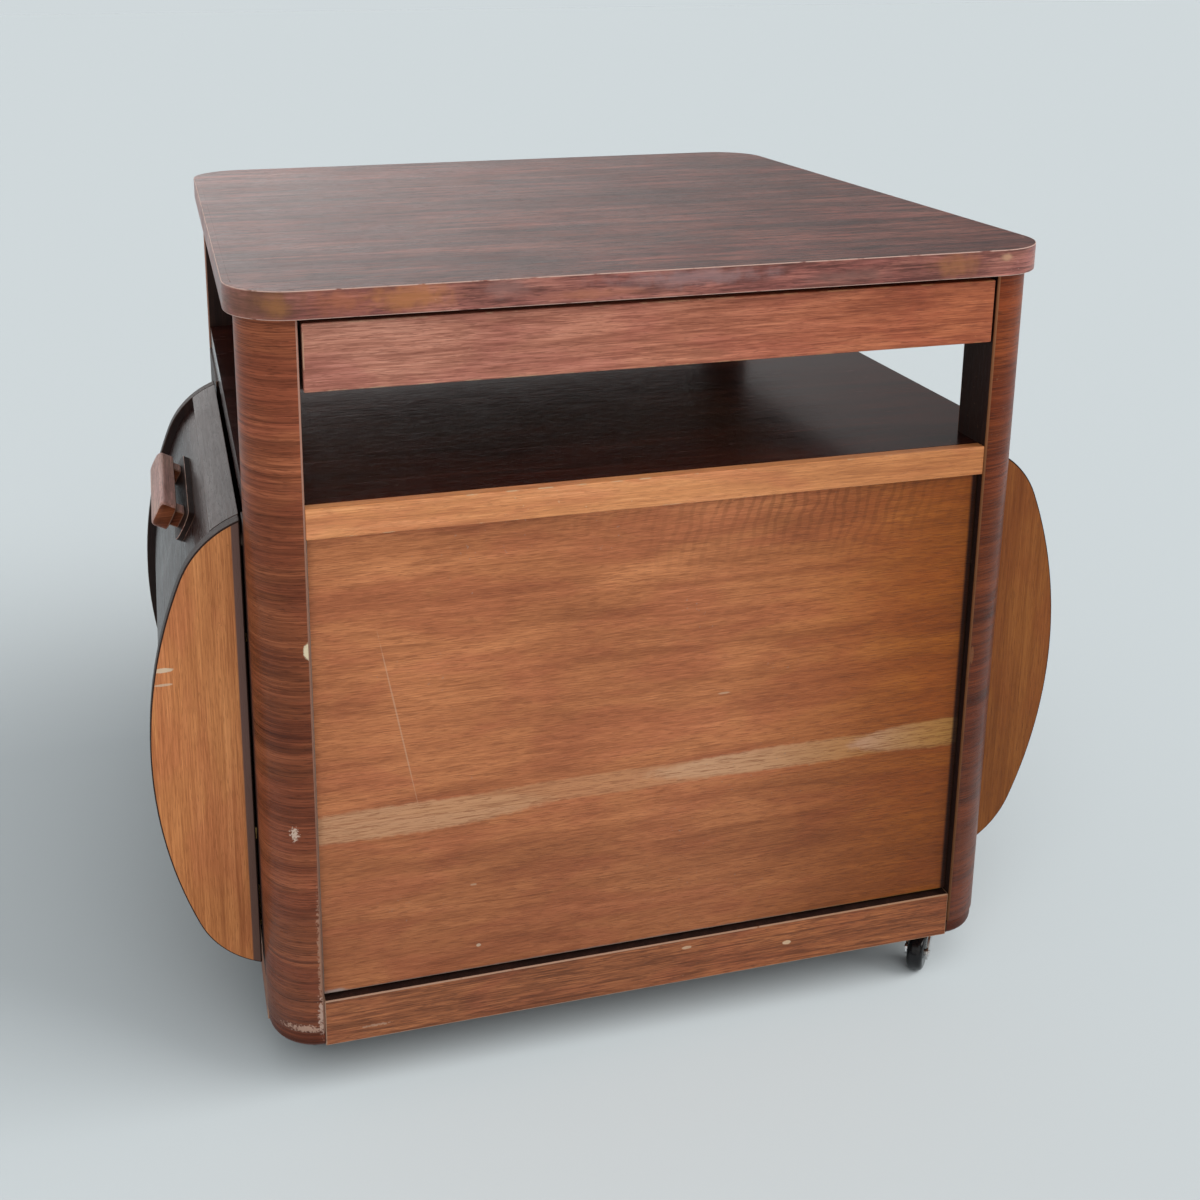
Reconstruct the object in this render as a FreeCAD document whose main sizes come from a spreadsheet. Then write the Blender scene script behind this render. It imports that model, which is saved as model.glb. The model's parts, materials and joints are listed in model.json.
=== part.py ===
"""Bar cart on castors: four quadrant posts, an open gallery under a shallow drawer,
and a cabinet with a bow-fronted fall flap on each side.

Frame: origin on the floor under the middle of the top, +X to the right, +Y to the back, +Z up.
"""
import FreeCAD, Part
import Sketcher
import math
import os

# Driving dimensions, in millimetres and degrees
SIZES = (
    ("top_width", 650, "top, side to side"),
    ("top_depth", 625, "top, front to back"),
    ("top_thickness", 21, "top board and its edge band"),
    ("top_corner_radius", 50, "rounded corners of the top in plan"),
    ("top_overhang", 7, "top beyond the carcass on every side"),
    ("edge_band_width", 6, "solid edge band round the top board"),
    ("carcass_height", 600, "underside of the carcass to underside of the top"),
    ("castor_height", 46, "floor to underside of the carcass"),
    ("post_radius", 42.5, "quadrant corner posts"),
    ("base_thickness", 14, "base board"),
    ("base_inset", 1, "base board corners inside the posts"),
    ("base_round", 5, "rounded lower edge of the base board corners"),
    ("rail_height", 41, "bottom rails"),
    ("rail_thickness", 18, "bottom rails, stiles and side panels"),
    ("rail_setback", 1.5, "front and back rails behind the post faces"),
    ("panel_thickness", 12, "front and back panels"),
    ("panel_setback", 7, "panels behind the post faces"),
    ("panel_lift", 2.5, "shadow gap between panels and bottom rails"),
    ("partition_thickness", 12, "board between the two compartments"),
    ("gallery_height", 143, "top of the shelf to underside of the top"),
    ("shelf_thickness", 24, "gallery shelf"),
    ("shelf_side_inset", 2, "shelf edge inside the side planes"),
    ("lipping_width", 10, "front and back lippings of the shelf"),
    ("lipping_setback", 1, "lippings behind the post faces"),
    ("drawer_front_height", 52, "drawer front"),
    ("drawer_front_thickness", 18, "drawer front and the matching back rail"),
    ("drawer_top_gap", 3, "drawer front to underside of the top"),
    ("drawer_end_gap", 1.2, "drawer front to each post"),
    ("drawer_rail_thickness", 18, "rails that carry the drawer"),
    ("drawer_rail_height", 58, "rails that carry the drawer"),
    ("drawer_back_gap", 105, "drawer to the matching rail behind it"),
    ("drawer_side_thickness", 12, "drawer sides"),
    ("drawer_side_height", 40, "drawer sides"),
    ("drawer_side_gap", 2, "drawer side to its rail"),
    ("drawer_side_rise", 4, "drawer side above the lower edge of the front"),
    ("drawer_back_thickness", 10, "drawer back"),
    ("drawer_bottom_thickness", 4, "drawer bottom"),
    ("drawer_bottom_rise", 5, "drawer bottom above the lower edge of the sides"),
    ("runner_height", 11.4, "side runners of the drawer"),
    ("runner_reach", 5.5, "runners beyond their rails"),
    ("runner_start", 22, "runners behind the drawer front"),
    ("running_gap", 0.3, "clearance between sliding faces"),
    ("groove_spare_depth", 0.5, "drawer groove deeper than the runner"),
    ("groove_stop", 2.5, "front end of the groove to the runner"),
    ("flap_gap", 1.5, "flap to the side of the carcass"),
    ("hinge_gap", 5.5, "lower rail of the flap to the side of the carcass"),
    ("flap_front_inset", 16, "flap end to the front post"),
    ("flap_length", 387, "flap, front to back"),
    ("flap_reach", 79, "bow of the flap beyond the side of the carcass"),
    ("shoulder_radius", 80, "rounder ends of the bow, at its top and bottom"),
    ("shoulder_setback", 26, "middle of the rounder ends behind the back of the flap"),
    ("flap_rail_width", 23, "rails of the flap, back to seam"),
    ("flap_top_gap", 2, "flap below the shelf"),
    ("flap_bottom_gap", 1, "flap above the bottom rail"),
    ("flap_overlap", 12, "flap over the edges of its opening"),
    ("cheek_thickness", 14, "bowed cheeks at the flap ends"),
    ("bow_setback", 8, "bow front inside the rims of the cheeks"),
    ("bow_thickness", 6, "bent bow front"),
    ("flap_open_angle", 90, "flap, closed to open"),
    ("handle_drop", 18, "handle backplate below the seam, along the bow"),
    ("handle_offset", 21, "handle towards the front from the middle of the flap"),
    ("handle_plate_length", 160, "handle backplate"),
    ("handle_plate_height", 26, "handle backplate"),
    ("handle_plate_thickness", 5, "handle backplate"),
    ("handle_plate_round", 11, "rounded ends of the backplate"),
    ("handle_plate_sink", 2, "curved seat of the backplate"),
    ("handle_length", 140, "handle bar"),
    ("handle_height", 22, "handle bar"),
    ("handle_thickness", 14, "handle bar"),
    ("handle_round", 9, "rounded ends of the handle bar"),
    ("handle_edge_round", 4, "eased edges of the handle bar"),
    ("handle_gap", 9, "finger gap behind the handle bar"),
    ("handle_foot_length", 18, "feet of the handle bar"),
    ("handle_foot_height", 14, "feet of the handle bar"),
    ("knuckle_radius", 2.45, "hinge knuckles"),
    ("hinge_pin_radius", 1.25, "hinge pins"),
    ("hinge_fit", 0.05, "moving knuckle round its pin"),
    ("leaf_thickness", 1.2, "hinge leaves"),
    ("leaf_width", 20, "hinge leaves"),
    ("leaf_length", 54, "hinge leaves"),
    ("knuckle_gap", 0.3, "between neighbouring knuckles"),
    ("hinge_inset", 50, "hinges from the flap ends"),
    ("stay_radius", 110, "middle of the quadrant stays"),
    ("stay_width", 10, "quadrant stays"),
    ("stay_thickness", 2.5, "quadrant stays"),
    ("stay_lap", 18, "quadrant stays over the cheeks"),
    ("stop_radius", 4, "stop pin on each stay"),
    ("stop_length", 8, "stop pin on each stay"),
    ("stop_gap", 0.3, "stop pin to its keeper when the flap is open"),
    ("keeper_width", 10, "keepers of the stays"),
    ("keeper_setback", 5, "keepers inside the side of the carcass"),
    ("keeper_thickness", 9, "keepers out from the edge of the opening"),
    ("keeper_wall", 5, "keepers above and below the stay"),
    ("keeper_clearance", 0.5, "slot of the keeper round the stay"),
    ("buffer_radius", 5, "rubber pads behind the flaps"),
    ("buffer_drop", 20, "rubber pads below the shelf"),
    ("buffer_clearance", 0.3, "rubber pads to the closed flap"),
    ("castor_inset", 40, "castor centre inside the carcass faces"),
    ("castor_plate_width", 34, "square castor plates"),
    ("castor_plate_thickness", 2, "square castor plates"),
    ("kingpin_radius", 4, "castor swivel pin"),
    ("kingpin_head_radius", 6, "head of the swivel pin"),
    ("kingpin_head_height", 2.7, "head of the swivel pin"),
    ("swivel_fit", 0.05, "castor horn round its swivel pin"),
    ("swivel_gap", 0.3, "castor horn to its plate and pin head"),
    ("horn_radius", 13, "crown of the castor horn"),
    ("horn_height", 7.7, "crown of the castor horn"),
    ("horn_thickness", 2, "cheeks of the castor horn"),
    ("horn_eye_radius", 6, "castor horn round the axle"),
    ("castor_trail", 24, "axle behind the swivel pin"),
    ("wheel_crown_gap", 2, "top of the castor wheel below the crown of its horn"),
    ("wheel_width", 14, "castor wheels"),
    ("wheel_round", 5, "rounded tread"),
    ("wheel_side_gap", 1, "wheel to each cheek of the horn"),
    ("axle_radius", 3, "castor axles"),
    ("axle_fit", 0.05, "wheel round its axle"),
    ("axle_head", 1, "axle ends beyond the horn"),
    ("yaw_front_left", 88, "heading of the castor trail"),
    ("yaw_front_right", 228, "heading of the castor trail"),
    ("yaw_back_left", 35, "heading of the castor trail"),
    ("yaw_back_right", 160, "heading of the castor trail"),
)

# Places that follow from the sizes
PLACES = (
    ("top_x", "size.top_width / 2"),
    ("top_y", "size.top_depth / 2"),
    ("top_flat_x", "top_x - size.top_corner_radius"),
    ("top_flat_y", "top_y - size.top_corner_radius"),
    ("core_x", "top_x - size.edge_band_width"),
    ("core_y", "top_y - size.edge_band_width"),
    ("core_radius", "size.top_corner_radius - size.edge_band_width"),
    ("carcass_x", "top_x - size.top_overhang"),
    ("carcass_y", "top_y - size.top_overhang"),
    ("post_x", "carcass_x - size.post_radius"),
    ("post_y", "carcass_y - size.post_radius"),
    ("floor_gap", "size.castor_height"),
    ("base_top", "size.castor_height + size.base_thickness"),
    ("rail_top", "size.castor_height + size.rail_height"),
    ("top_under", "size.castor_height + size.carcass_height"),
    ("shelf_top", "top_under - size.gallery_height"),
    ("shelf_under", "shelf_top - size.shelf_thickness"),
    ("rail_in_x", "carcass_x - size.rail_thickness"),
    ("rail_out_y", "carcass_y - size.rail_setback"),
    ("rail_in_y", "rail_out_y - size.rail_thickness"),
    ("base_radius", "size.post_radius - size.base_inset"),
    ("base_x", "post_x + base_radius"),
    ("base_y", "post_y + base_radius"),
    ("panel_out_y", "carcass_y - size.panel_setback"),
    ("panel_in_y", "panel_out_y - size.panel_thickness"),
    ("panel_low", "rail_top + size.panel_lift"),
    ("inside_y", "min(panel_in_y; rail_in_y)"),
    ("partition_x", "size.partition_thickness / 2"),
    ("shelf_x", "carcass_x - size.shelf_side_inset"),
    ("lipping_out_y", "carcass_y - size.lipping_setback"),
    ("lipping_in_y", "lipping_out_y - size.lipping_width"),
    ("drawer_top", "top_under - size.drawer_top_gap"),
    ("drawer_low", "drawer_top - size.drawer_front_height"),
    ("drawer_front_x", "post_x - size.drawer_end_gap"),
    ("drawer_face_in_y", "carcass_y - size.drawer_front_thickness"),
    ("drawer_rail_in_x", "post_x - size.drawer_rail_thickness"),
    ("drawer_rail_low", "top_under - size.drawer_rail_height"),
    ("drawer_rail_front", "drawer_face_in_y - size.drawer_end_gap"),
    ("drawer_side_out_x", "drawer_rail_in_x - size.drawer_side_gap"),
    ("drawer_side_in_x", "drawer_side_out_x - size.drawer_side_thickness"),
    ("drawer_side_low", "drawer_low + size.drawer_side_rise"),
    ("drawer_side_top", "drawer_side_low + size.drawer_side_height"),
    ("drawer_end_y", "drawer_face_in_y - size.drawer_back_gap"),
    ("drawer_bottom_low", "drawer_side_low + size.drawer_bottom_rise"),
    ("drawer_bottom_top", "drawer_bottom_low + size.drawer_bottom_thickness"),
    ("runner_middle", "(drawer_side_low + drawer_side_top) / 2"),
    ("runner_low", "runner_middle - size.runner_height / 2"),
    ("runner_top", "runner_middle + size.runner_height / 2"),
    ("runner_in_x", "drawer_rail_in_x - size.runner_reach"),
    ("runner_front", "drawer_face_in_y - size.runner_start"),
    ("groove_in_x", "runner_in_x - size.groove_spare_depth"),
    ("groove_front", "runner_front + size.groove_stop"),
    ("flap_near", "size.flap_front_inset - post_y"),
    ("flap_far", "flap_near + size.flap_length"),
    ("flap_middle_y", "(flap_near + flap_far) / 2"),
    ("flap_low", "rail_top + size.flap_bottom_gap"),
    ("flap_top", "shelf_under - size.flap_top_gap"),
    ("flap_back_x", "carcass_x + size.flap_gap"),
    ("opening_near", "flap_near + size.flap_overlap"),
    ("opening_far", "flap_far - size.flap_overlap"),
    ("cheek_near", "flap_near + size.cheek_thickness"),
    ("cheek_far", "flap_far - size.cheek_thickness"),
    ("bow_middle", "(flap_top + flap_low) / 2"),
    ("bow_edge_x", "carcass_x + size.flap_reach"),
    ("shoulder_x", "flap_back_x - size.shoulder_setback"),
    ("shoulder_drop", "sqrt(size.shoulder_radius ^ 2 - size.shoulder_setback ^ 2)"),
    ("shoulder_rise", "(flap_top - flap_low) / 2 - shoulder_drop"),
    ("shoulder_reach", "bow_edge_x - shoulder_x"),
    ("rim_power", "shoulder_reach ^ 2 + shoulder_rise ^ 2 - size.shoulder_radius ^ 2"),
    ("rim_radius", "rim_power / (2 * (shoulder_reach - size.shoulder_radius))"),
    ("rim_centre_x", "bow_edge_x - rim_radius"),
    ("shoulder_lean", "asin(shoulder_rise / (rim_radius - size.shoulder_radius))"),
    ("rim_x", "rim_centre_x + rim_radius * cos(shoulder_lean)"),
    ("rim_rise", "rim_radius * sin(shoulder_lean)"),
    ("rim_low", "bow_middle - rim_rise"),
    ("rim_top", "bow_middle + rim_rise"),
    ("bow_radius", "rim_radius - size.bow_setback"),
    ("bow_end_radius", "size.shoulder_radius - size.bow_setback"),
    ("bow_x", "rim_centre_x + bow_radius * cos(shoulder_lean)"),
    ("bow_low", "bow_middle - bow_radius * sin(shoulder_lean)"),
    ("bow_top", "bow_middle + bow_radius * sin(shoulder_lean)"),
    ("bow_in_radius", "bow_radius - size.bow_thickness"),
    ("bow_in_end_radius", "bow_end_radius - size.bow_thickness"),
    ("bow_in_x", "rim_centre_x + bow_in_radius * cos(shoulder_lean)"),
    ("bow_in_low", "bow_middle - bow_in_radius * sin(shoulder_lean)"),
    ("bow_in_top", "bow_middle + bow_in_radius * sin(shoulder_lean)"),
    ("core_end_drop", "sqrt(bow_end_radius ^ 2 - size.shoulder_setback ^ 2)"),
    ("core_low", "bow_middle - shoulder_rise - core_end_drop"),
    ("core_top", "bow_middle + shoulder_rise + core_end_drop"),
    ("seam_turn", "acos((size.flap_rail_width + size.shoulder_setback) / size.shoulder_radius)"),
    ("seam_x", "flap_back_x + size.flap_rail_width"),
    ("seam_rise", "shoulder_rise + size.shoulder_radius * sin(seam_turn)"),
    ("seam_low", "bow_middle - seam_rise"),
    ("seam_top", "bow_middle + seam_rise"),
    ("bow_end_x", "shoulder_x + bow_end_radius * cos(seam_turn)"),
    ("bow_end_rise", "shoulder_rise + bow_end_radius * sin(seam_turn)"),
    ("bow_end_low", "bow_middle - bow_end_rise"),
    ("bow_end_top", "bow_middle + bow_end_rise"),
    ("bow_in_end_x", "shoulder_x + bow_in_end_radius * cos(seam_turn)"),
    ("bow_in_end_rise", "shoulder_rise + bow_in_end_radius * sin(seam_turn)"),
    ("bow_in_end_low", "bow_middle - bow_in_end_rise"),
    ("bow_in_end_top", "bow_middle + bow_in_end_rise"),
    ("leaf_seat_x", "carcass_x + size.hinge_gap"),
    ("leaf_seat_reach", "leaf_seat_x - shoulder_x"),
    ("leaf_seat_drop", "sqrt(size.shoulder_radius ^ 2 - leaf_seat_reach ^ 2)"),
    ("leaf_seat_low", "bow_middle - shoulder_rise - leaf_seat_drop"),
    ("handle_y", "flap_middle_y - size.handle_offset"),
    ("plate_end", "size.handle_plate_length / 2"),
    ("plate_flat", "plate_end - size.handle_plate_round"),
    ("plate_side", "size.handle_plate_height / 2"),
    ("plate_side_flat", "plate_side - size.handle_plate_round"),
    ("handle_fall", "plate_side + size.handle_drop"),
    ("shoulder_arc", "bow_end_radius * (seam_turn - shoulder_lean) / 1 rad"),
    ("handle_on_shoulder", "min(handle_fall; shoulder_arc)"),
    ("handle_on_rim", "handle_fall - handle_on_shoulder"),
    ("handle_turn", "(handle_on_shoulder / bow_end_radius + handle_on_rim / bow_radius) * 1 rad"),
    ("handle_tilt", "seam_turn - handle_turn"),
    ("handle_lean", "min(handle_tilt; shoulder_lean)"),
    ("shoulder_throw", "bow_radius - bow_end_radius"),
    ("handle_foot_x", "rim_centre_x + shoulder_throw * cos(handle_lean)"),
    ("handle_x", "handle_foot_x + bow_end_radius * cos(handle_tilt)"),
    ("handle_foot_z", "bow_middle + shoulder_throw * sin(handle_lean)"),
    ("handle_z", "handle_foot_z + bow_end_radius * sin(handle_tilt)"),
    ("bar_end", "size.handle_length / 2"),
    ("bar_flat", "bar_end - size.handle_round"),
    ("bar_side", "size.handle_height / 2"),
    ("bar_side_flat", "bar_side - size.handle_round"),
    ("bar_back", "size.handle_plate_thickness + size.handle_gap"),
    ("hinge_x", "carcass_x + size.hinge_gap / 2"),
    ("hinge_z", "rail_top + size.knuckle_radius"),
    ("hinge_near", "flap_near + size.hinge_inset"),
    ("hinge_far", "flap_far - size.hinge_inset - size.leaf_length"),
    ("knuckle_length", "(size.leaf_length - 2 * size.knuckle_gap) / 3"),
    ("leaf_clear", "size.knuckle_radius + size.knuckle_gap"),
    ("keeper_out", "carcass_x - size.keeper_setback"),
    ("keeper_in", "keeper_out - size.keeper_width"),
    ("stop_reach", "hinge_x - keeper_in + size.stop_radius + size.stop_gap"),
    ("stop_turn", "asin(stop_reach / size.stay_radius) + (size.flap_open_angle - 90) * 1 deg"),
    ("tail_turn", "asin((flap_back_x + size.stay_lap - hinge_x) / size.stay_radius)"),
    ("stay_out_radius", "size.stay_radius + size.stay_width / 2"),
    ("stay_in_radius", "size.stay_radius - size.stay_width / 2"),
    ("head_out_u", "stay_out_radius * cos(stop_turn)"),
    ("head_out_z", "-stay_out_radius * sin(stop_turn)"),
    ("head_in_u", "stay_in_radius * cos(stop_turn)"),
    ("head_in_z", "-stay_in_radius * sin(stop_turn)"),
    ("tail_out_u", "-stay_out_radius * sin(tail_turn)"),
    ("tail_out_z", "stay_out_radius * cos(tail_turn)"),
    ("tail_in_u", "-stay_in_radius * sin(tail_turn)"),
    ("tail_in_z", "stay_in_radius * cos(tail_turn)"),
    ("stop_u", "size.stay_radius * cos(stop_turn)"),
    ("stop_z", "hinge_z - size.stay_radius * sin(stop_turn)"),
    ("slot_reach", "hinge_x - keeper_in"),
    ("slot_low", "hinge_z + sqrt(stay_in_radius * stay_in_radius - slot_reach * slot_reach)"),
    ("slot_top", "hinge_z + stay_out_radius"),
    ("castor_x", "carcass_x - size.castor_inset"),
    ("castor_y", "carcass_y - size.castor_inset"),
    ("plate_low", "size.castor_height - size.castor_plate_thickness"),
    ("crown_top", "plate_low - size.swivel_gap"),
    ("crown_low", "crown_top - size.horn_height"),
    ("head_top", "crown_low - size.swivel_gap"),
    ("head_low", "head_top - size.kingpin_head_height"),
    ("wheel_radius", "(crown_low - size.wheel_crown_gap) / 2"),
    ("horn_in_y", "size.wheel_width / 2 + size.wheel_side_gap"),
    ("horn_out_y", "horn_in_y + size.horn_thickness"),
    ("horn_root", "sqrt(size.horn_radius * size.horn_radius - horn_out_y * horn_out_y)"),
    ("horn_eye_front", "size.castor_trail - size.horn_eye_radius"),
    ("horn_eye_back", "size.castor_trail + size.horn_eye_radius"),
    ("axle_end", "horn_out_y + size.axle_head"),
    ("wheel_half", "size.wheel_width / 2"),
    ("wheel_bore", "size.axle_radius + size.axle_fit"),
    ("wheel_flat", "wheel_half - size.wheel_round"),
    ("wheel_shoulder", "wheel_radius - size.wheel_round"),
)

doc = FreeCAD.newDocument("bar_cart")
size = doc.addObject("Spreadsheet::Sheet", "size")
for row, (alias, amount, note) in enumerate(SIZES, start=1):
    size.set(f"A{row}", note)
    size.set(f"B{row}", str(amount))
    size.setAlias(f"B{row}", alias)
place = doc.addObject("Spreadsheet::Sheet", "place")
doc.recompute()
for row, (alias, formula) in enumerate(PLACES, start=1):
    place.set(f"A{row}", "=" + formula)
    place.setAlias(f"A{row}", alias)
    doc.recompute()

X_AXIS = FreeCAD.Vector(1, 0, 0)
Y_AXIS = FreeCAD.Vector(0, 1, 0)
Z_AXIS = FreeCAD.Vector(0, 0, 1)
QUARTER_TURN = 90
HALF_TURN = 180
ZERO = "size.top_width * 0"
SIDES = (("left", "-"), ("right", ""))
ENDS = (("front", "-"), ("back", ""))

nodes = []


def number(reference):
    """The present value of a sheet cell, written sheet.alias with an optional leading minus."""
    if reference == ZERO:
        return 0.0
    sheet_name, alias = reference.lstrip("-").split(".")
    amount = doc.getObject(sheet_name).get(alias)
    amount = getattr(amount, "Value", amount)
    return -amount if reference.startswith("-") else amount


def mirrored(sign, low, high):
    """A span on the right of the middle plane, or its mirror image on the left."""
    return (f"-({high})", f"-({low})") if sign else (low, high)


def keep(item, label):
    """Makes an object one of the cart's named pieces."""
    item.Label = label
    nodes.append(item)
    return item


def seat(item, x=ZERO, y=ZERO, z=ZERO):
    for axis, formula in (("x", x), ("y", y), ("z", z)):
        item.setExpression("Placement.Base." + axis, formula)
    return item


def turned(item, angle, axis=Z_AXIS):
    """Turns an object about an axis by an angle from the sheets."""
    item.Placement = FreeCAD.Placement(FreeCAD.Vector(), FreeCAD.Rotation(axis, 1))
    item.setExpression("Placement.Rotation.Angle", f"({angle}) * 1 deg")
    return item


def board(name, x, y, z):
    """A square-edged board between two planes on each axis."""
    item = doc.addObject("Part::Box", name)
    for side, (low, high) in (("Length", x), ("Width", y), ("Height", z)):
        item.setExpression(side, f"({high}) - ({low})")
    return seat(item, x[0], y[0], z[0])


def upright_rod(name, radius, x, y, z):
    item = doc.addObject("Part::Cylinder", name)
    item.setExpression("Radius", radius)
    item.setExpression("Height", f"({z[1]}) - ({z[0]})")
    return seat(item, x, y, z[0])


def cross_rod(name, radius, x, y, z):
    """A rod along Y."""
    item = doc.addObject("Part::Cylinder", name)
    item.setExpression("Radius", radius)
    item.setExpression("Height", f"({y[1]}) - ({y[0]})")
    item.Placement = FreeCAD.Placement(FreeCAD.Vector(), FreeCAD.Rotation(X_AXIS, -QUARTER_TURN))
    return seat(item, x, y[0], z)


def side_rod(name, radius, x, y, z):
    """A rod along X."""
    item = doc.addObject("Part::Cylinder", name)
    item.setExpression("Radius", radius)
    item.setExpression("Height", f"({x[1]}) - ({x[0]})")
    item.Placement = FreeCAD.Placement(FreeCAD.Vector(), FreeCAD.Rotation(Y_AXIS, QUARTER_TURN))
    return seat(item, x[0], y, z)


def cut(name, base, tool):
    item = doc.addObject("Part::Cut", name)
    item.Base = base
    item.Tool = tool
    return item


def fuse(name, shapes):
    item = doc.addObject("Part::MultiFuse", name)
    item.Shapes = shapes
    item.Refine = True
    return item


def group(name, shapes):
    """Separate solids that share one node."""
    item = doc.addObject("Part::Compound", name)
    item.Links = shapes
    return item


def new_sketch(body, plane):
    sketch = body.newObject("Sketcher::SketchObject", body.Name + "_sketch")
    support = next(item for item in body.Origin.OriginFeatures if item.Role == plane)
    sketch.AttachmentSupport = [(support, "")]
    sketch.MapMode = "FlatFace"
    return sketch


def arc_between(start, end, radius, turn):
    """The minor arc from start to end: turn is 1 counter-clockwise and -1 clockwise."""
    chord = end - start
    left = FreeCAD.Vector(-chord.y, chord.x, 0).normalize()
    reach = math.sqrt(max(radius ** 2 - (chord.Length / 2) ** 2, 0))
    centre = (start + end) * 0.5 + left * (reach * turn)
    first, last = (start, end) if turn > 0 else (end, start)
    angles = [math.atan2(point.y - centre.y, point.x - centre.x) for point in (first, last)]
    return Part.ArcOfCircle(Part.Circle(centre, Z_AXIS, radius), *angles)


def draw_loop(sketch, corners):
    """Draws a closed outline whose corners and radii are bound to the sheets.

    A corner is (across, up), followed by (radius, turn) where an arc leaves it.
    """
    points = [FreeCAD.Vector(number(corner[0]), number(corner[1]), 0) for corner in corners]
    first = sketch.GeometryCount
    ends = []
    for index, corner in enumerate(corners):
        start, end = points[index], points[(index + 1) % len(points)]
        if len(corner) > 2:
            sketch.addGeometry(arc_between(start, end, number(corner[2]), corner[3]), False)
            ends.append((1, 2) if corner[3] > 0 else (2, 1))
        else:
            sketch.addGeometry(Part.LineSegment(start, end), False)
            ends.append((1, 2))
    for index, corner in enumerate(corners):
        following = (index + 1) % len(corners)
        here, there = first + index, first + following
        sketch.addConstraint(
            Sketcher.Constraint("Coincident", here, ends[index][1], there, ends[following][0]))
        for kind, reference in (("DistanceX", corner[0]), ("DistanceY", corner[1])):
            bound = sketch.addConstraint(
                Sketcher.Constraint(kind, -1, 1, here, ends[index][0], number(reference)))
            sketch.setExpression(f"Constraints[{bound}]", reference)
        if len(corner) > 2:
            bound = sketch.addConstraint(Sketcher.Constraint("Radius", here, number(corner[2])))
            sketch.setExpression(f"Constraints[{bound}]", corner[2])


def padded(name, plane, loops, length):
    """A body padded from outlines on one of its own origin planes."""
    body = doc.addObject("PartDesign::Body", name)
    sketch = new_sketch(body, plane)
    for loop in loops:
        draw_loop(sketch, loop)
    pad = body.newObject("PartDesign::Pad", name + "_pad")
    pad.Profile = sketch
    pad.setExpression("Length", length)
    sketch.Visibility = False
    return body


def eased(body, radius, chosen):
    """Fillets the edges of a body that the test picks out."""
    doc.recompute()
    base = body.Tip
    picked = [f"Edge{index}" for index, edge in enumerate(base.Shape.Edges, start=1) if chosen(edge)]
    fillet = body.newObject("PartDesign::Fillet", body.Name + "_fillet")
    fillet.Base = (base, picked)
    fillet.setExpression("Radius", radius)
    return body


def rounded_loop(half_x, half_y, flat_x, flat_y, radius):
    """A rectangle with round corners about the origin."""
    return (
        (half_x, "-" + flat_y),
        (half_x, flat_y, radius, 1),
        (flat_x, half_y),
        ("-" + flat_x, half_y, radius, 1),
        ("-" + half_x, flat_y),
        ("-" + half_x, "-" + flat_y, radius, 1),
        ("-" + flat_x, "-" + half_y),
        (flat_x, "-" + half_y, radius, 1),
    )


def make_top():
    outer = rounded_loop(
        "place.top_x", "place.top_y", "place.top_flat_x", "place.top_flat_y", "size.top_corner_radius")
    inner = rounded_loop(
        "place.core_x", "place.core_y", "place.top_flat_x", "place.top_flat_y", "place.core_radius")
    for label, loops in (("top_board", (inner,)), ("top_edge_band", (outer, inner))):
        body = padded(label, "XY_Plane", loops, "size.top_thickness")
        keep(seat(body, z="place.top_under"), label)


def make_posts():
    for end, end_sign in ENDS:
        for side, side_sign in SIDES:
            label = f"post_{end}_{side}"
            turn = 1 if side_sign == end_sign else -1
            quadrant = (
                (side_sign + "place.post_x", end_sign + "place.post_y"),
                (side_sign + "place.carcass_x", end_sign + "place.post_y", "size.post_radius", turn),
                (side_sign + "place.post_x", end_sign + "place.carcass_y"),
            )
            body = padded(label, "XY_Plane", (quadrant,), "place.top_under - place.base_top")
            keep(seat(body, z="place.base_top"), label)


def make_base():
    """A board inside the rails whose rounded corners reach out under the posts."""
    loop = []
    for side_sign, end_sign in (("", ""), ("-", ""), ("-", "-"), ("", "-")):
        side_corner = (side_sign + "place.rail_in_x", end_sign + "place.post_y")
        side_lobe = (side_sign + "place.base_x", end_sign + "place.post_y")
        end_lobe = (side_sign + "place.post_x", end_sign + "place.base_y")
        end_corner = (side_sign + "place.post_x", end_sign + "place.rail_in_y")
        arc = ("place.base_radius", 1)
        if side_sign == end_sign:
            loop += [side_corner, side_lobe + arc, end_lobe, end_corner]
        else:
            loop += [end_corner, end_lobe + arc, side_lobe, side_corner]
    body = padded("base_board", "XY_Plane", (loop,), "size.base_thickness")

    def lower_round(edge):
        is_arc = edge.Curve.TypeId == "Part::GeomCircle"
        return is_arc and edge.BoundBox.ZMax < number("size.base_thickness") / 2

    eased(body, "size.base_round", lower_round)
    keep(seat(body, z="place.floor_gap"), "base_board")


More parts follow.
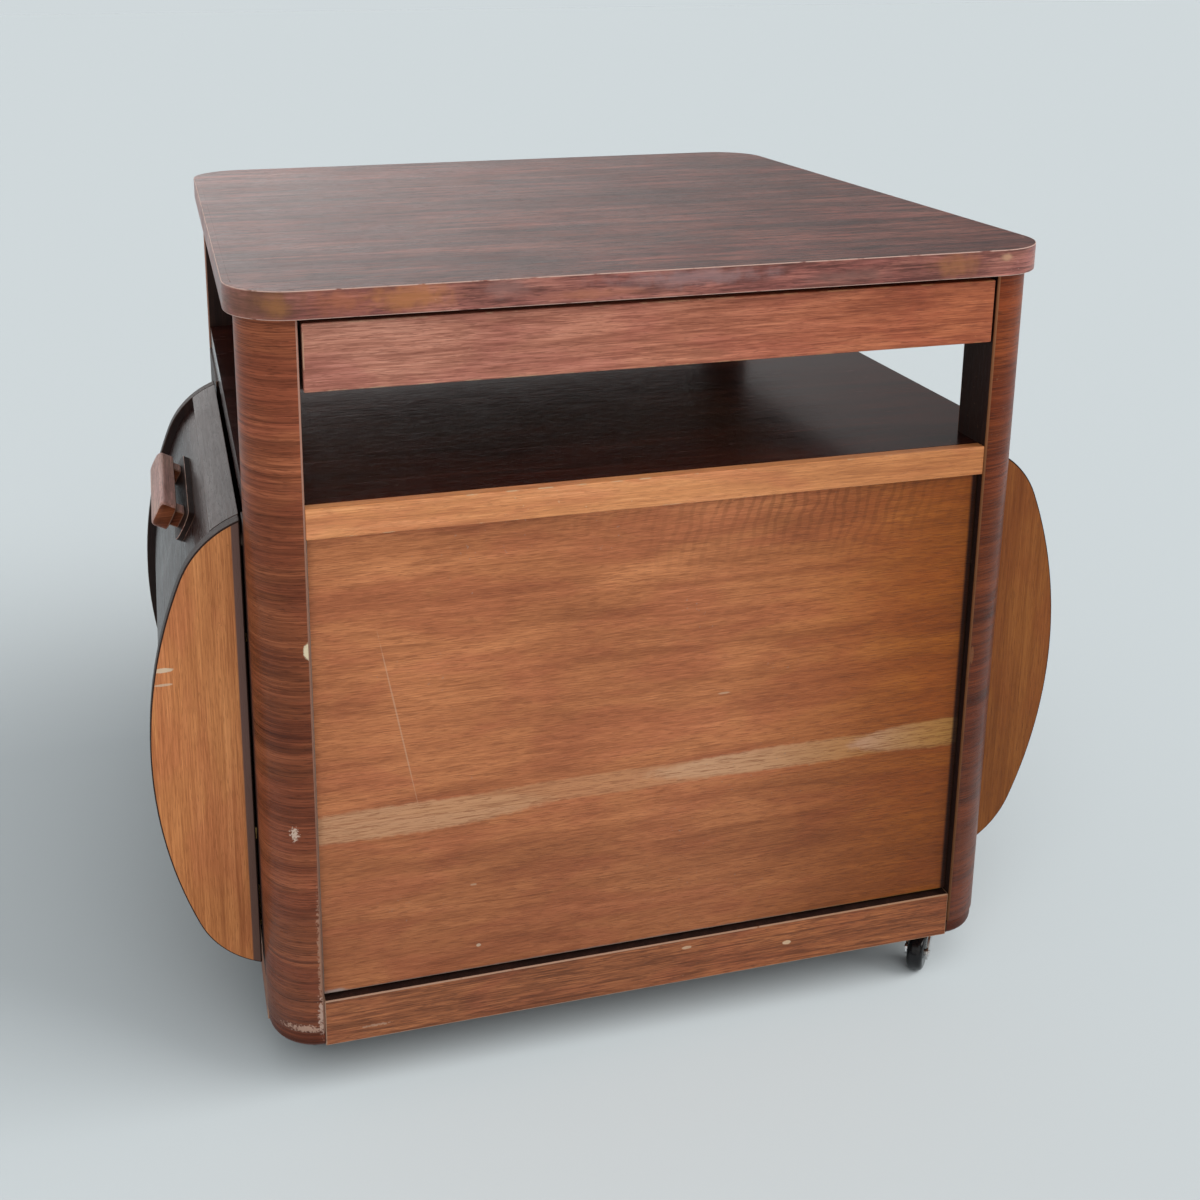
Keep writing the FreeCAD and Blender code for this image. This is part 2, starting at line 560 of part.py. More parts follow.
def make_carcass():
    rail_z = ("place.floor_gap", "place.rail_top")
    wall_z = ("place.rail_top", "place.shelf_under")
    panel_z = ("place.panel_low", "place.shelf_under")
    between_posts_x = ("-place.post_x", "place.post_x")
    between_posts_y = ("-place.post_y", "place.post_y")
    for end, sign in ENDS:
        rail_y = mirrored(sign, "place.rail_in_y", "place.rail_out_y")
        panel_y = mirrored(sign, "place.panel_in_y", "place.panel_out_y")
        label = f"bottom_rail_{end}"
        keep(board(label, between_posts_x, rail_y, rail_z), label)
        label = f"{end}_panel"
        keep(board(label, between_posts_x, panel_y, panel_z), label)
    for side, sign in SIDES:
        wall_x = mirrored(sign, "place.rail_in_x", "place.carcass_x")
        label = f"bottom_rail_{side}"
        keep(board(label, wall_x, between_posts_y, rail_z), label)
        label = f"side_stile_{side}"
        keep(board(label, wall_x, ("-place.post_y", "place.opening_near"), wall_z), label)
        label = f"side_panel_{side}"
        keep(board(label, wall_x, ("place.opening_far", "place.post_y"), wall_z), label)
    inside_y = ("-place.inside_y", "place.inside_y")
    partition_x = ("-place.partition_x", "place.partition_x")
    partition_z = ("place.base_top", "place.shelf_under")
    keep(board("centre_partition", partition_x, inside_y, partition_z), "centre_partition")


def make_shelf():
    loop = (
        ("place.shelf_x", "-place.post_y"),
        ("place.shelf_x", "place.post_y"),
        ("place.post_x", "place.post_y"),
        ("place.post_x", "place.lipping_in_y"),
        ("-place.post_x", "place.lipping_in_y"),
        ("-place.post_x", "place.post_y"),
        ("-place.shelf_x", "place.post_y"),
        ("-place.shelf_x", "-place.post_y"),
        ("-place.post_x", "-place.post_y"),
        ("-place.post_x", "-place.lipping_in_y"),
        ("place.post_x", "-place.lipping_in_y"),
        ("place.post_x", "-place.post_y"),
    )
    body = padded("shelf_board", "XY_Plane", (loop,), "size.shelf_thickness")
    keep(seat(body, z="place.shelf_under"), "shelf_board")
    lippings = []
    for end, sign in ENDS:
        span_y = mirrored(sign, "place.lipping_in_y", "place.lipping_out_y")
        span_z = ("place.shelf_under", "place.shelf_top")
        lippings.append(board(f"lipping_{end}", ("-place.post_x", "place.post_x"), span_y, span_z))
    keep(group("lippings", lippings), "shelf_lippings")


def make_drawer_rails():
    back_x = ("-place.post_x", "place.post_x")
    back_y = ("place.drawer_face_in_y", "place.carcass_y")
    back_z = ("place.drawer_low", "place.top_under")
    keep(board("gallery_back_rail", back_x, back_y, back_z), "gallery_back_rail")
    for side, sign in SIDES:
        rail_x = mirrored(sign, "place.drawer_rail_in_x", "place.post_x")
        rail_y = ("-place.drawer_rail_front", "place.drawer_face_in_y")
        rail = board(f"rail_{side}", rail_x, rail_y, ("place.drawer_rail_low", "place.top_under"))
        runner_x = mirrored(sign, "place.runner_in_x", "place.drawer_rail_in_x")
        runner_y = ("-place.runner_front", "place.drawer_face_in_y")
        runner = board(f"runner_{side}", runner_x, runner_y, ("place.runner_low", "place.runner_top"))
        keep(fuse(f"railed_{side}", [rail, runner]), f"drawer_rail_{side}")


def make_drawer():
    front_x = ("-place.drawer_front_x", "place.drawer_front_x")
    front_y = ("-place.carcass_y", "-place.drawer_face_in_y")
    keep(board("drawer_front", front_x, front_y, ("place.drawer_low", "place.drawer_top")), "drawer_front")
    side_z = ("place.drawer_side_low", "place.drawer_side_top")
    side_y = ("-place.drawer_face_in_y", "place.drawer_end_y")
    for side, sign in SIDES:
        plank_x = mirrored(sign, "place.drawer_side_in_x", "place.drawer_side_out_x")
        plank = board(f"plank_{side}", plank_x, side_y, side_z)
        groove_x = mirrored(sign, "place.groove_in_x", "place.drawer_side_out_x")
        groove_y = ("-place.groove_front", "place.drawer_end_y")
        groove_z = ("place.runner_low - size.running_gap", "place.runner_top + size.running_gap")
        groove = board(f"groove_{side}", groove_x, groove_y, groove_z)
        keep(cut(f"grooved_{side}", plank, groove), f"drawer_side_{side}")
    inside_x = ("-place.drawer_side_in_x", "place.drawer_side_in_x")
    floor_z = ("place.drawer_bottom_low", "place.drawer_bottom_top")
    keep(board("drawer_bottom", inside_x, side_y, floor_z), "drawer_bottom")
    back_y = ("place.drawer_end_y - size.drawer_back_thickness", "place.drawer_end_y")
    back_z = ("place.drawer_bottom_top", "place.drawer_side_top")
    keep(board("drawer_back", inside_x, back_y, back_z), "drawer_back")


def flap_pad(name, loop, near, far):
    """A flap piece drawn in the XZ plane and padded along Y between two places."""
    body = padded(name, "XZ_Plane", (loop,), f"{far} - {near}")
    return seat(body, y=far)


def bow_core(name, sign):
    """The space inside the bow front, with the rounder ends of its outline."""
    turn = -1 if sign else 1
    return flap_pad(name, (
        (sign + "place.flap_back_x", "place.core_low", "place.bow_end_radius", turn),
        (sign + "place.bow_x", "place.bow_low", "place.bow_radius", turn),
        (sign + "place.bow_x", "place.bow_top", "place.bow_end_radius", turn),
        (sign + "place.flap_back_x", "place.core_top"),
    ), "place.cheek_near", "place.cheek_far")


def make_flap_shell(side, sign):
    """Bowed cheeks, the rails between them and the bent front, all on the same three arcs."""
    turn = -1 if sign else 1
    cheek = (
        (sign + "place.flap_back_x", "place.flap_low", "size.shoulder_radius", turn),
        (sign + "place.rim_x", "place.rim_low", "place.rim_radius", turn),
        (sign + "place.rim_x", "place.rim_top", "size.shoulder_radius", turn),
        (sign + "place.flap_back_x", "place.flap_top"),
    )
    cheeks = (("front", "place.flap_near", "place.cheek_near"), ("back", "place.cheek_far", "place.flap_far"))
    for end, near, far in cheeks:
        label = f"{side}_flap_cheek_{end}"
        keep(flap_pad(label, cheek, near, far), label)

    pieces = {
        "bow_front": (
            (sign + "place.bow_end_x", "place.bow_end_low", "place.bow_end_radius", turn),
            (sign + "place.bow_x", "place.bow_low", "place.bow_radius", turn),
            (sign + "place.bow_x", "place.bow_top", "place.bow_end_radius", turn),
            (sign + "place.bow_end_x", "place.bow_end_top"),
            (sign + "place.bow_in_end_x", "place.bow_in_end_top", "place.bow_in_end_radius", -turn),
            (sign + "place.bow_in_x", "place.bow_in_top", "place.bow_in_radius", -turn),
            (sign + "place.bow_in_x", "place.bow_in_low", "place.bow_in_end_radius", -turn),
            (sign + "place.bow_in_end_x", "place.bow_in_end_low"),
        ),
        "top_rail": (
            (sign + "place.flap_back_x", "place.bow_in_end_top"),
            (sign + "place.bow_in_end_x", "place.bow_in_end_top"),
            (sign + "place.seam_x", "place.seam_top", "size.shoulder_radius", turn),
            (sign + "place.flap_back_x", "place.flap_top"),
        ),
        "bottom_rail": (
            (sign + "place.leaf_seat_x", "place.leaf_seat_low", "size.shoulder_radius", turn),
            (sign + "place.seam_x", "place.seam_low"),
            (sign + "place.bow_in_end_x", "place.bow_in_end_low"),
            (sign + "place.leaf_seat_x", "place.bow_in_end_low"),
        ),
    }
    for name, loop in pieces.items():
        label = f"{side}_flap_{name}"
        keep(flap_pad(label, loop, "place.cheek_near", "place.cheek_far"), label)


def make_handle(side, sign):
    """A bar on two feet over a backplate that fits the bow, leaning back with the surface."""
    lean = "-place.handle_tilt" if not sign else f"place.handle_tilt + {HALF_TURN} deg"

    def leaned(item):
        item.Placement = FreeCAD.Placement(FreeCAD.Vector(), FreeCAD.Rotation(Y_AXIS, 1))
        item.setExpression("Placement.Rotation.Angle", lean)
        return seat(item, sign + "place.handle_x", "place.handle_y", "place.handle_z")

    plate = padded(f"{side}_plate", "YZ_Plane", (rounded_loop(
        "place.plate_end", "place.plate_side", "place.plate_flat", "place.plate_side_flat",
        "size.handle_plate_round"),), "size.handle_plate_thickness + size.handle_plate_sink")
    seat(plate, x="-size.handle_plate_sink")
    blank = leaned(group(f"{side}_plate_blank", [plate]))
    seated = cut(f"{side}_seated_plate", blank, bow_core(f"{side}_bow_core", sign))
    keep(seated, f"{side}_flap_handle_plate")

    bar = padded(f"{side}_bar", "YZ_Plane", (rounded_loop(
        "place.bar_end", "place.bar_side", "place.bar_flat", "place.bar_side_flat",
        "size.handle_round"),), "size.handle_thickness")

    def on_the_outer_face(edge):
        return edge.BoundBox.XMin > number("size.handle_thickness") / 2

    eased(bar, "size.handle_edge_round", on_the_outer_face)
    seat(bar, x="place.bar_back")
    shapes = [bar]
    foot_x = ("size.handle_plate_thickness", "place.bar_back")
    foot_z = ("-size.handle_foot_height / 2", "size.handle_foot_height / 2")
    for end, end_sign in ENDS:
        foot_y = mirrored(end_sign, "place.bar_flat - size.handle_foot_length", "place.bar_flat")
        shapes.append(board(f"{side}_foot_{end}", foot_x, foot_y, foot_z))
    keep(leaned(fuse(f"{side}_footed_bar", shapes)), f"{side}_flap_handle_bar")


def make_hinges(side, sign):
    """Two butt hinges along the sill: the pin is fixed in the outer knuckles."""
    fixed, moving = [], []
    for end, start in (("front", "place.hinge_near"), ("back", "place.hinge_far")):
        name = f"{side}_{end}"
        stop = f"{start} + size.leaf_length"
        axis_x = sign + "place.hinge_x"
        middle = (f"{start} + place.knuckle_length + size.knuckle_gap",
                  f"{stop} - place.knuckle_length - size.knuckle_gap")
        outer = ((start, f"{start} + place.knuckle_length"), (f"{stop} - place.knuckle_length", stop))
        leaf_x = mirrored(sign, "place.carcass_x - size.leaf_width", "place.carcass_x")
        leaf_z = ("place.rail_top", "place.rail_top + size.leaf_thickness")
        shapes = [board(f"{name}_sill_leaf", leaf_x, (start, stop), leaf_z),
                  cross_rod(f"{name}_pin", "size.hinge_pin_radius", axis_x, (start, stop), "place.hinge_z")]
        web_x = mirrored(sign, "place.carcass_x", "place.hinge_x")
        for index, span in enumerate(outer):
            shapes.append(board(f"{name}_web_{index}", web_x, span, leaf_z))
            shapes.append(
                cross_rod(f"{name}_knuckle_{index}", "size.knuckle_radius", axis_x, span, "place.hinge_z"))
        fixed.append(fuse(f"{name}_fixed", shapes))

        plate_x = mirrored(sign, "place.leaf_seat_x - size.leaf_thickness", "place.leaf_seat_x")
        plate_z = ("place.hinge_z + place.leaf_clear", "place.hinge_z + size.leaf_width")
        web_z = ("place.hinge_z", plate_z[0])
        solid = fuse(f"{name}_moving_blank", [
            board(f"{name}_flap_leaf", plate_x, (start, stop), plate_z),
            board(f"{name}_flap_web", plate_x, middle, web_z),
            cross_rod(f"{name}_middle", "size.knuckle_radius", axis_x, middle, "place.hinge_z")])
        bore = cross_rod(f"{name}_bore", "size.hinge_pin_radius + size.hinge_fit", axis_x, middle,
                         "place.hinge_z")
        moving.append(cut(f"{name}_moving", solid, bore))
    keep(group(f"{side}_fixed_hinges", fixed), f"{side}_hinge_fixed")
    keep(group(f"{side}_moving_hinges", moving), f"{side}_flap_hinge_leaf")


def make_stays(side, sign):
    """Quadrant stays about the hinge line, one against each cheek of the flap."""
    inward = "" if sign else "-"
    turn = 1 if sign else -1
    arc = (
        (inward + "place.head_out_u", "place.head_out_z", "place.stay_out_radius", turn),
        (inward + "place.tail_out_u", "place.tail_out_z"),
        (inward + "place.tail_in_u", "place.tail_in_z", "place.stay_in_radius", -turn),
        (inward + "place.head_in_u", "place.head_in_z"),
    )
    stop_x = f"{sign}place.hinge_x + ({inward}place.stop_u)"
    spans = (
        ("front", ("place.cheek_near", "place.cheek_near + size.stay_thickness"),
         ("place.cheek_near", "place.cheek_near + size.stop_length")),
        ("back", ("place.cheek_far - size.stay_thickness", "place.cheek_far"),
         ("place.cheek_far - size.stop_length", "place.cheek_far")),
    )
    stays = []
    for end, (near, far), stop_y in spans:
        name = f"{side}_{end}_stay"
        blade = padded(f"{name}_blade", "XZ_Plane", (arc,), "size.stay_thickness")
        seat(blade, sign + "place.hinge_x", far, "place.hinge_z")
        stop = cross_rod(f"{name}_stop", "size.stop_radius", stop_x, stop_y, "place.stop_z")
        stays.append(fuse(name, [blade, stop]))
    keep(group(f"{side}_stays", stays), f"{side}_flap_stays")


def make_keepers():
    keepers = []
    for side, sign in SIDES:
        span_x = mirrored(sign, "place.keeper_in", "place.keeper_out")
        span_z = ("place.slot_low - size.keeper_clearance - size.keeper_wall",
                  "place.slot_top + size.keeper_clearance + size.keeper_wall")
        slot_z = ("place.slot_low - size.keeper_clearance", "place.slot_top + size.keeper_clearance")
        ends = (
            ("front", ("place.opening_near", "place.opening_near + size.keeper_thickness"),
             ("place.cheek_near - size.keeper_clearance",
              "place.cheek_near + size.stay_thickness + size.keeper_clearance")),
            ("back", ("place.opening_far - size.keeper_thickness", "place.opening_far"),
             ("place.cheek_far - size.stay_thickness - size.keeper_clearance",
              "place.cheek_far + size.keeper_clearance")),
        )
        for end, span_y, slot_y in ends:
            block = board(f"{side}_{end}_keeper_block", span_x, span_y, span_z)
            slot = board(f"{side}_{end}_keeper_slot", span_x, slot_y, slot_z)
            keepers.append(cut(f"{side}_{end}_keeper", block, slot))
    keep(group("keepers", keepers), "stay_keepers")


def make_buffers():
    buffers = []
    for side, sign in SIDES:
        span_x = mirrored(sign, "place.carcass_x", "place.flap_back_x - size.buffer_clearance")
        for end, middle in (("front", "place.opening_near - size.flap_overlap / 2"),
                            ("back", "place.opening_far + size.flap_overlap / 2")):
            buffers.append(side_rod(f"{side}_{end}_buffer", "size.buffer_radius", span_x, middle,
                                    "place.shelf_under - size.buffer_drop"))
    keep(group("buffers", buffers), "flap_buffers")


def make_castors():
    plates = []
    for end, end_sign in ENDS:
        for side, side_sign in SIDES:
            where = f"{end}_{side}"
            x, y = side_sign + "place.castor_x", end_sign + "place.castor_y"
            half = "size.castor_plate_width / 2"
            plate = board(f"{where}_plate", (f"{x} - {half}", f"{x} + {half}"),
                          (f"{y} - {half}", f"{y} + {half}"), ("place.plate_low", "place.floor_gap"))
            pin = upright_rod(f"{where}_kingpin", "size.kingpin_radius", x, y,
                              ("place.head_low", "place.plate_low"))
            head = upright_rod(f"{where}_pin_head", "size.kingpin_head_radius", x, y,
                               ("place.head_low", "place.head_top"))
            plates.append(fuse(f"{where}_swivel", [plate, pin, head]))
            make_castor_horn(where, x, y)
            make_castor_wheel(where, x, y)
    keep(group("plates", plates), "castor_plates")


def make_castor_horn(where, x, y):
    """A crown with two cheeks that trail down to the axle."""
    crown = upright_rod(f"{where}_crown", "size.horn_radius", ZERO, ZERO, ("place.crown_low", "place.crown_top"))
    shapes = [crown]
    cheek = (
        ("-place.horn_root", "place.crown_top"),
        ("-place.horn_root", "place.crown_low"),
        ("place.horn_eye_front", "place.wheel_radius"),
        ("place.horn_eye_back", "place.wheel_radius"),
        ("place.horn_root", "place.crown_top"),
    )
    for hand, far in (("near", "-place.horn_in_y"), ("far", "place.horn_out_y")):
        shapes.append(seat(padded(f"{where}_cheek_{hand}", "XZ_Plane", (cheek,), "size.horn_thickness"), y=far))
        eye_y = mirrored("-" if hand == "near" else "", "place.horn_in_y", "place.horn_out_y")
        shapes.append(cross_rod(f"{where}_eye_{hand}", "size.horn_eye_radius", "size.castor_trail", eye_y,
                                "place.wheel_radius"))
    shapes.append(cross_rod(f"{where}_axle", "size.axle_radius", "size.castor_trail",
                            ("-place.axle_end", "place.axle_end"), "place.wheel_radius"))
    blank = fuse(f"{where}_horn_blank", shapes)
    bore = upright_rod(f"{where}_swivel_bore", "size.kingpin_radius + size.swivel_fit", ZERO, ZERO,
                       ("place.crown_low", "place.crown_top"))
    horn = turned(cut(f"{where}_horn", blank, bore), f"size.yaw_{where}")
    keep(seat(horn, x, y), f"castor_horn_{where}")


def make_castor_wheel(where, x, y):
    body = doc.addObject("PartDesign::Body", f"{where}_wheel")
    sketch = new_sketch(body, "YZ_Plane")
    draw_loop(sketch, (
        ("-place.wheel_half", "place.wheel_bore"),
        ("place.wheel_half", "place.wheel_bore"),
        ("place.wheel_half", "place.wheel_shoulder", "size.wheel_round", 1),
        ("place.wheel_flat", "place.wheel_radius"),
        ("-place.wheel_flat", "place.wheel_radius", "size.wheel_round", 1),
        ("-place.wheel_half", "place.wheel_shoulder"),
    ))
    spin = body.newObject("PartDesign::Revolution", f"{where}_wheel_turned")
    spin.Profile = sketch
    spin.ReferenceAxis = (sketch, ["H_Axis"])
    yaw = f"size.yaw_{where} * 1 deg"
    turned(body, f"size.yaw_{where}")
    seat(body, f"{x} + size.castor_trail * cos({yaw})", f"{y} + size.castor_trail * sin({yaw})",
         "place.wheel_radius")
    keep(body, f"castor_wheel_{where}")


def check_document():
    for item in doc.Objects:
        if "Invalid" in item.State or "Error" in item.State:
            raise RuntimeError(f"{item.Label} failed: {item.State}")
    for item in nodes:
        if item.Shape.isNull() or not item.Shape.isValid():
            raise RuntimeError(f"{item.Label} has no valid shape")


make_top()
make_posts()
make_base()
make_carcass()
make_shelf()
make_drawer_rails()
make_drawer()
for side, sign in SIDES:
    make_flap_shell(side, sign)
    make_handle(side, sign)
    make_hinges(side, sign)
    make_stays(side, sign)
make_keepers()
make_buffers()
make_castors()
doc.recompute()
check_document()

os.makedirs("parts", exist_ok=True)
for item in nodes:
    item.Shape.exportStep(os.path.join("parts", item.Label + ".step"))
    print(item.Label, len(item.Shape.Solids), round(item.Shape.Volume))
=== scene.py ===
"""A worn bar cart in a pale studio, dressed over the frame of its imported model.

Most pieces are copies of their CAD nodes with eased arrises, and the fittings get their screws.
Every finish is procedural and laid out in the row frame, in metres.
"""
import json
import math
from functools import partial

import bmesh
import bpy
from mathutils import Matrix, Vector


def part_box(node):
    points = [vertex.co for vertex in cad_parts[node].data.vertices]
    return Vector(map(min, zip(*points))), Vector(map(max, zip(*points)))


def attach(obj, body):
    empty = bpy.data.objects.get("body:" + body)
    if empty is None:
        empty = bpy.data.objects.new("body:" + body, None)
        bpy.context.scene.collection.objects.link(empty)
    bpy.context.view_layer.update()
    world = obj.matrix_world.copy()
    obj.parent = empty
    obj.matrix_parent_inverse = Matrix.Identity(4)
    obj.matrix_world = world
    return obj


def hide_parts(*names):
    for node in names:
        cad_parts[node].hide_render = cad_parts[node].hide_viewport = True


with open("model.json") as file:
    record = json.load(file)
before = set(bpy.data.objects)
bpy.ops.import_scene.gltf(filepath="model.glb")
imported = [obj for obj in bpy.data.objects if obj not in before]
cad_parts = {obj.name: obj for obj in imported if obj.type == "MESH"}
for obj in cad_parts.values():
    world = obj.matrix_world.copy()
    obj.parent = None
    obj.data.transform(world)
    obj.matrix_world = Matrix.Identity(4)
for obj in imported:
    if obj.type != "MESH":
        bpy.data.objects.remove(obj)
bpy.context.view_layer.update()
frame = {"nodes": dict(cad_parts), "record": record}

NODES = frame["nodes"]
BODIES = frame["record"]["behaviour"]["bodies"]
BODY_OF = {node: body for body, members in BODIES.items() for node in members}
SLOT_OF = {part["node"]: part["material_slot"] for part in frame["record"]["subparts"]}
MM = 0.001
AXES = "xyz"
OPAQUE = (1.0,)

# Where the view is taken from, and its lens
CAMERA_PLACE = (-0.36772, -1.26806, 0.88283)
CAMERA_HEADING = math.radians(13.635)
CAMERA_DIP = math.radians(13.711)
CAMERA_ROLL = math.radians(-0.345)
CAMERA_LENS = 42.385
CAMERA_SENSOR = 36.0
CAMERA_SHIFT = (0.0884, -0.2396)

# The studio: an even sky, two wide soft suns, two that only wash the floor,
# and a window that only the polish shows
PALE_GREY = (0.631, 0.687, 0.708)
FLOOR_HALF = 30.0
FLOOR_ROUGHNESS = 0.9
SKY_TONE = (0.95, 0.98, 1.0)
SKY_STRENGTH = 0.50
SUNS = {
    "soft light from the right": {
        "way": (0.80, -0.30, 0.62), "spread": 40, "power": 1.5, "tone": (1.0, 0.97, 0.93)},
    "soft light from the front": {
        "way": (-0.30, -0.90, 0.50), "spread": 70, "power": 0.6, "tone": (1.0, 0.98, 0.95)},
    "floor wash from the right": {
        "way": (0.80, -0.30, 0.62), "spread": 40, "power": 1.7, "tone": (1.0, 0.98, 0.97)},
    "floor wash from the front": {
        "way": (0.00, -0.55, 0.83), "spread": 60, "power": 2.0, "tone": (1.0, 0.98, 0.97)},
}
ROOM_TONE = (1.0, 0.97, 0.96)
ROOM_DIM = 0.15
WINDOW_BRIGHT = 1.65
WINDOW_WAY = Vector((-0.41, 0.87, 0.26)).normalized()
WINDOW_FALL = 4.0

# How copies of the nodes are eased
WELD = 0.002 * MM
FLAT_ANGLE = math.radians(0.4)
ARRIS_ANGLE = math.radians(32)
EASE_STEPS = 3
ARRIS_SLOT = 1
FLANK_TURN = 0.9
FOOT_HEIGHT = 1.0 * MM
POST_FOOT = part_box("post_front_left")[0].z + FOOT_HEIGHT
FLAP_MIDDLE = sum(corner.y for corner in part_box("left_flap_bow_front")) / 2

# Width of the rounded arrises by material slot, in mm; nodes of other slots stay as they are
EASE = {
    "edge_band": 1.2, "post_wood": 1.6, "lipping_wood": 0.8, "panel_wood": 1.0,
    "rail_wood": 1.0, "side_wood": 0.6, "inner_wood": 0.5, "drawer_face_wood": 1.1,
    "drawer_box_wood": 0.7, "flap_cheek_wood": 1.2, "flap_face_wood": 0.8, "handle_wood": 1.2,
    "brass": 0.25, "castor_steel": 0.45,
}

# The handle bar: its own rounding in mm, its lean, and the turns where its ends and its back begin,
# which are painted in shade
BAR_EASE = 5.0
BAR_TILT = math.radians(27.6)
BAR_END = 0.5
BAR_FACING = -0.35

# What comes off each end and off the top of a front
FRONT_TRIM = {"drawer_front": (1.4 * MM, 1.3 * MM)}

# Screws of the fittings
LEAF_THICKNESS = 1.2 * MM
LEAF_SCREWS = (0.17, 0.5, 0.83)
LEAF_SCREW_INSET = 7.5 * MM
PLATE_THICKNESS = 2.0 * MM
PLATE_SCREW_INSET = 4.2 * MM
HEAD_RADIUS = 2.2 * MM
HEAD_CROWN = 1.5 * MM
HEAD_HEIGHT = 0.6 * MM
HEAD_SINK = 0.2 * MM
HEAD_SIDES = 20
SLOT_CUT = (6.0 * MM, 0.6 * MM, 0.7 * MM)
SLOT_SPIN = math.radians(67)

# The usual noise of a finish, and the value that it lies about
NOISE_DETAIL = 3.0
NOISE_ROUGHNESS = 0.55
NOISE_MIDDLE = 0.5


def add_node(tree, kind, links=(), values=(), **settings):
    """A new node of a tree, with its settings, its linked sockets and its constant ones."""
    made = tree.nodes.new(kind)
    for name, value in settings.items():
        setattr(made, name, value)
    for socket, source in links:
        tree.links.new(source, made.inputs[socket])
    for socket, value in values:
        made.inputs[socket].default_value = value
    return made


class Finish:
    """A material in the making, with short words for the nodes that it needs."""

    def __init__(self, name):
        self.material = bpy.data.materials.new(name)
        self.material.use_nodes = True
        self.tree = self.material.node_tree
        self.surface = self.tree.nodes["Principled BSDF"]
        self.where = self.node("ShaderNodeTexCoord").outputs["Object"]

    def node(self, kind, **settings):
        return add_node(self.tree, kind, **settings)

    def put(self, socket, value):
        """Links an output to a socket, or sets the socket to a constant."""
        if isinstance(value, bpy.types.NodeSocket):
            self.tree.links.new(value, socket)
        elif socket.type == "RGBA":
            socket.default_value = tuple(value) + OPAQUE
        else:
            socket.default_value = value

    def set(self, **values):
        """Sets sockets of the surface, named with underscores for spaces."""
        for name, value in values.items():
            self.put(self.surface.inputs[name.replace("_", " ")], value)

    def reckon(self, operation, *values, clamp=False):
        made = self.node("ShaderNodeMath", operation=operation, use_clamp=clamp)
        for socket, value in zip(made.inputs, values):
            self.put(socket, value)
        return made.outputs["Value"]

    def stretched(self, scales):
        made = self.node("ShaderNodeMapping")
        self.put(made.inputs["Vector"], self.where)
        made.inputs["Scale"].default_value = scales
        return made.outputs["Vector"]

    def noise(self, where, scale=1.0, detail=NOISE_DETAIL,
              roughness=NOISE_ROUGHNESS, distortion=0.0):
        made = self.node("ShaderNodeTexNoise")
        self.put(made.inputs["Vector"], where)
        made.inputs["Scale"].default_value = scale
        made.inputs["Detail"].default_value = detail
        made.inputs["Roughness"].default_value = roughness
        made.inputs["Distortion"].default_value = distortion
        return made.outputs["Fac"]

    def between(self, amount, low, high):
        """0 below low and 1 above high, smooth between them; reversed if high is the lower."""
        flip = high < low
        made = self.node("ShaderNodeMapRange", interpolation_type="SMOOTHSTEP")
        self.put(made.inputs["Value"], amount)
        made.inputs["From Min"].default_value = min(low, high)
        made.inputs["From Max"].default_value = max(low, high)
        made.inputs["To Min"].default_value = 1.0 if flip else 0.0
        made.inputs["To Max"].default_value = 0.0 if flip else 1.0
        return made.outputs["Result"]

    def ramp(self, amount, stops):
        made = self.node("ShaderNodeValToRGB")
        self.put(made.inputs["Fac"], amount)
        steps = made.color_ramp.elements
        for index, (place, tone) in enumerate(stops):
            step = steps[index] if index < len(steps) else steps.new(place)
            step.position = place
            step.color = tuple(tone) + OPAQUE
        return made.outputs["Color"]

    def mix(self, amount, first, second, blend="MIX"):
        made = self.node("ShaderNodeMix", data_type="RGBA", blend_type=blend)
        colours = [socket for socket in made.inputs if socket.type == "RGBA"]
        self.put(made.inputs["Factor"], amount)
        self.put(colours[0], first)
        self.put(colours[1], second)
        return next(socket for socket in made.outputs if socket.type == "RGBA")

    def lay(self, colour, mask, cover, tone):
        """Lays a tone over a colour where the mask is, by the share that it covers."""
        return self.mix(self.reckon("MULTIPLY", mask, cover), colour, tone)

    def attribute(self, name):
        return self.node("ShaderNodeAttribute", attribute_name=name).outputs["Fac"]

    def axis(self, letter):
        made = self.node("ShaderNodeSeparateXYZ")
        self.put(made.inputs["Vector"], self.where)
        return made.outputs[letter.upper()]

    def relief(self, height, depth):
        made = self.node("ShaderNodeBump")
        made.inputs["Distance"].default_value = depth
        self.put(made.inputs["Height"], height)
        self.put(self.surface.inputs["Normal"], made.outputs["Normal"])

    def torn(self, distance, ragged, grit, *band):
        """A mask that fades across a band of distances, with a ragged edge."""
        uneven = self.reckon("MULTIPLY_ADD", self.noise(self.where, grit), ragged, -ragged / 2)
        return self.between(self.reckon("ADD", distance, uneven), *band)

    def spot(self, centre, reach, ragged, grit, soft):
        """1 inside a ragged ellipsoid about centre, 0 outside."""
        shifted = self.node("ShaderNodeVectorMath", operation="SUBTRACT")
        self.put(shifted.inputs[0], self.where)
        shifted.inputs[1].default_value = centre
        shrunk = self.node("ShaderNodeVectorMath", operation="DIVIDE")
        self.put(shrunk.inputs[0], shifted.outputs["Vector"])
        shrunk.inputs[1].default_value = reach
        length = self.node("ShaderNodeVectorMath", operation="LENGTH")
        self.put(length.inputs[0], shrunk.outputs["Vector"])
        return self.torn(length.outputs["Value"], ragged, grit, 1.0, 1.0 - soft)

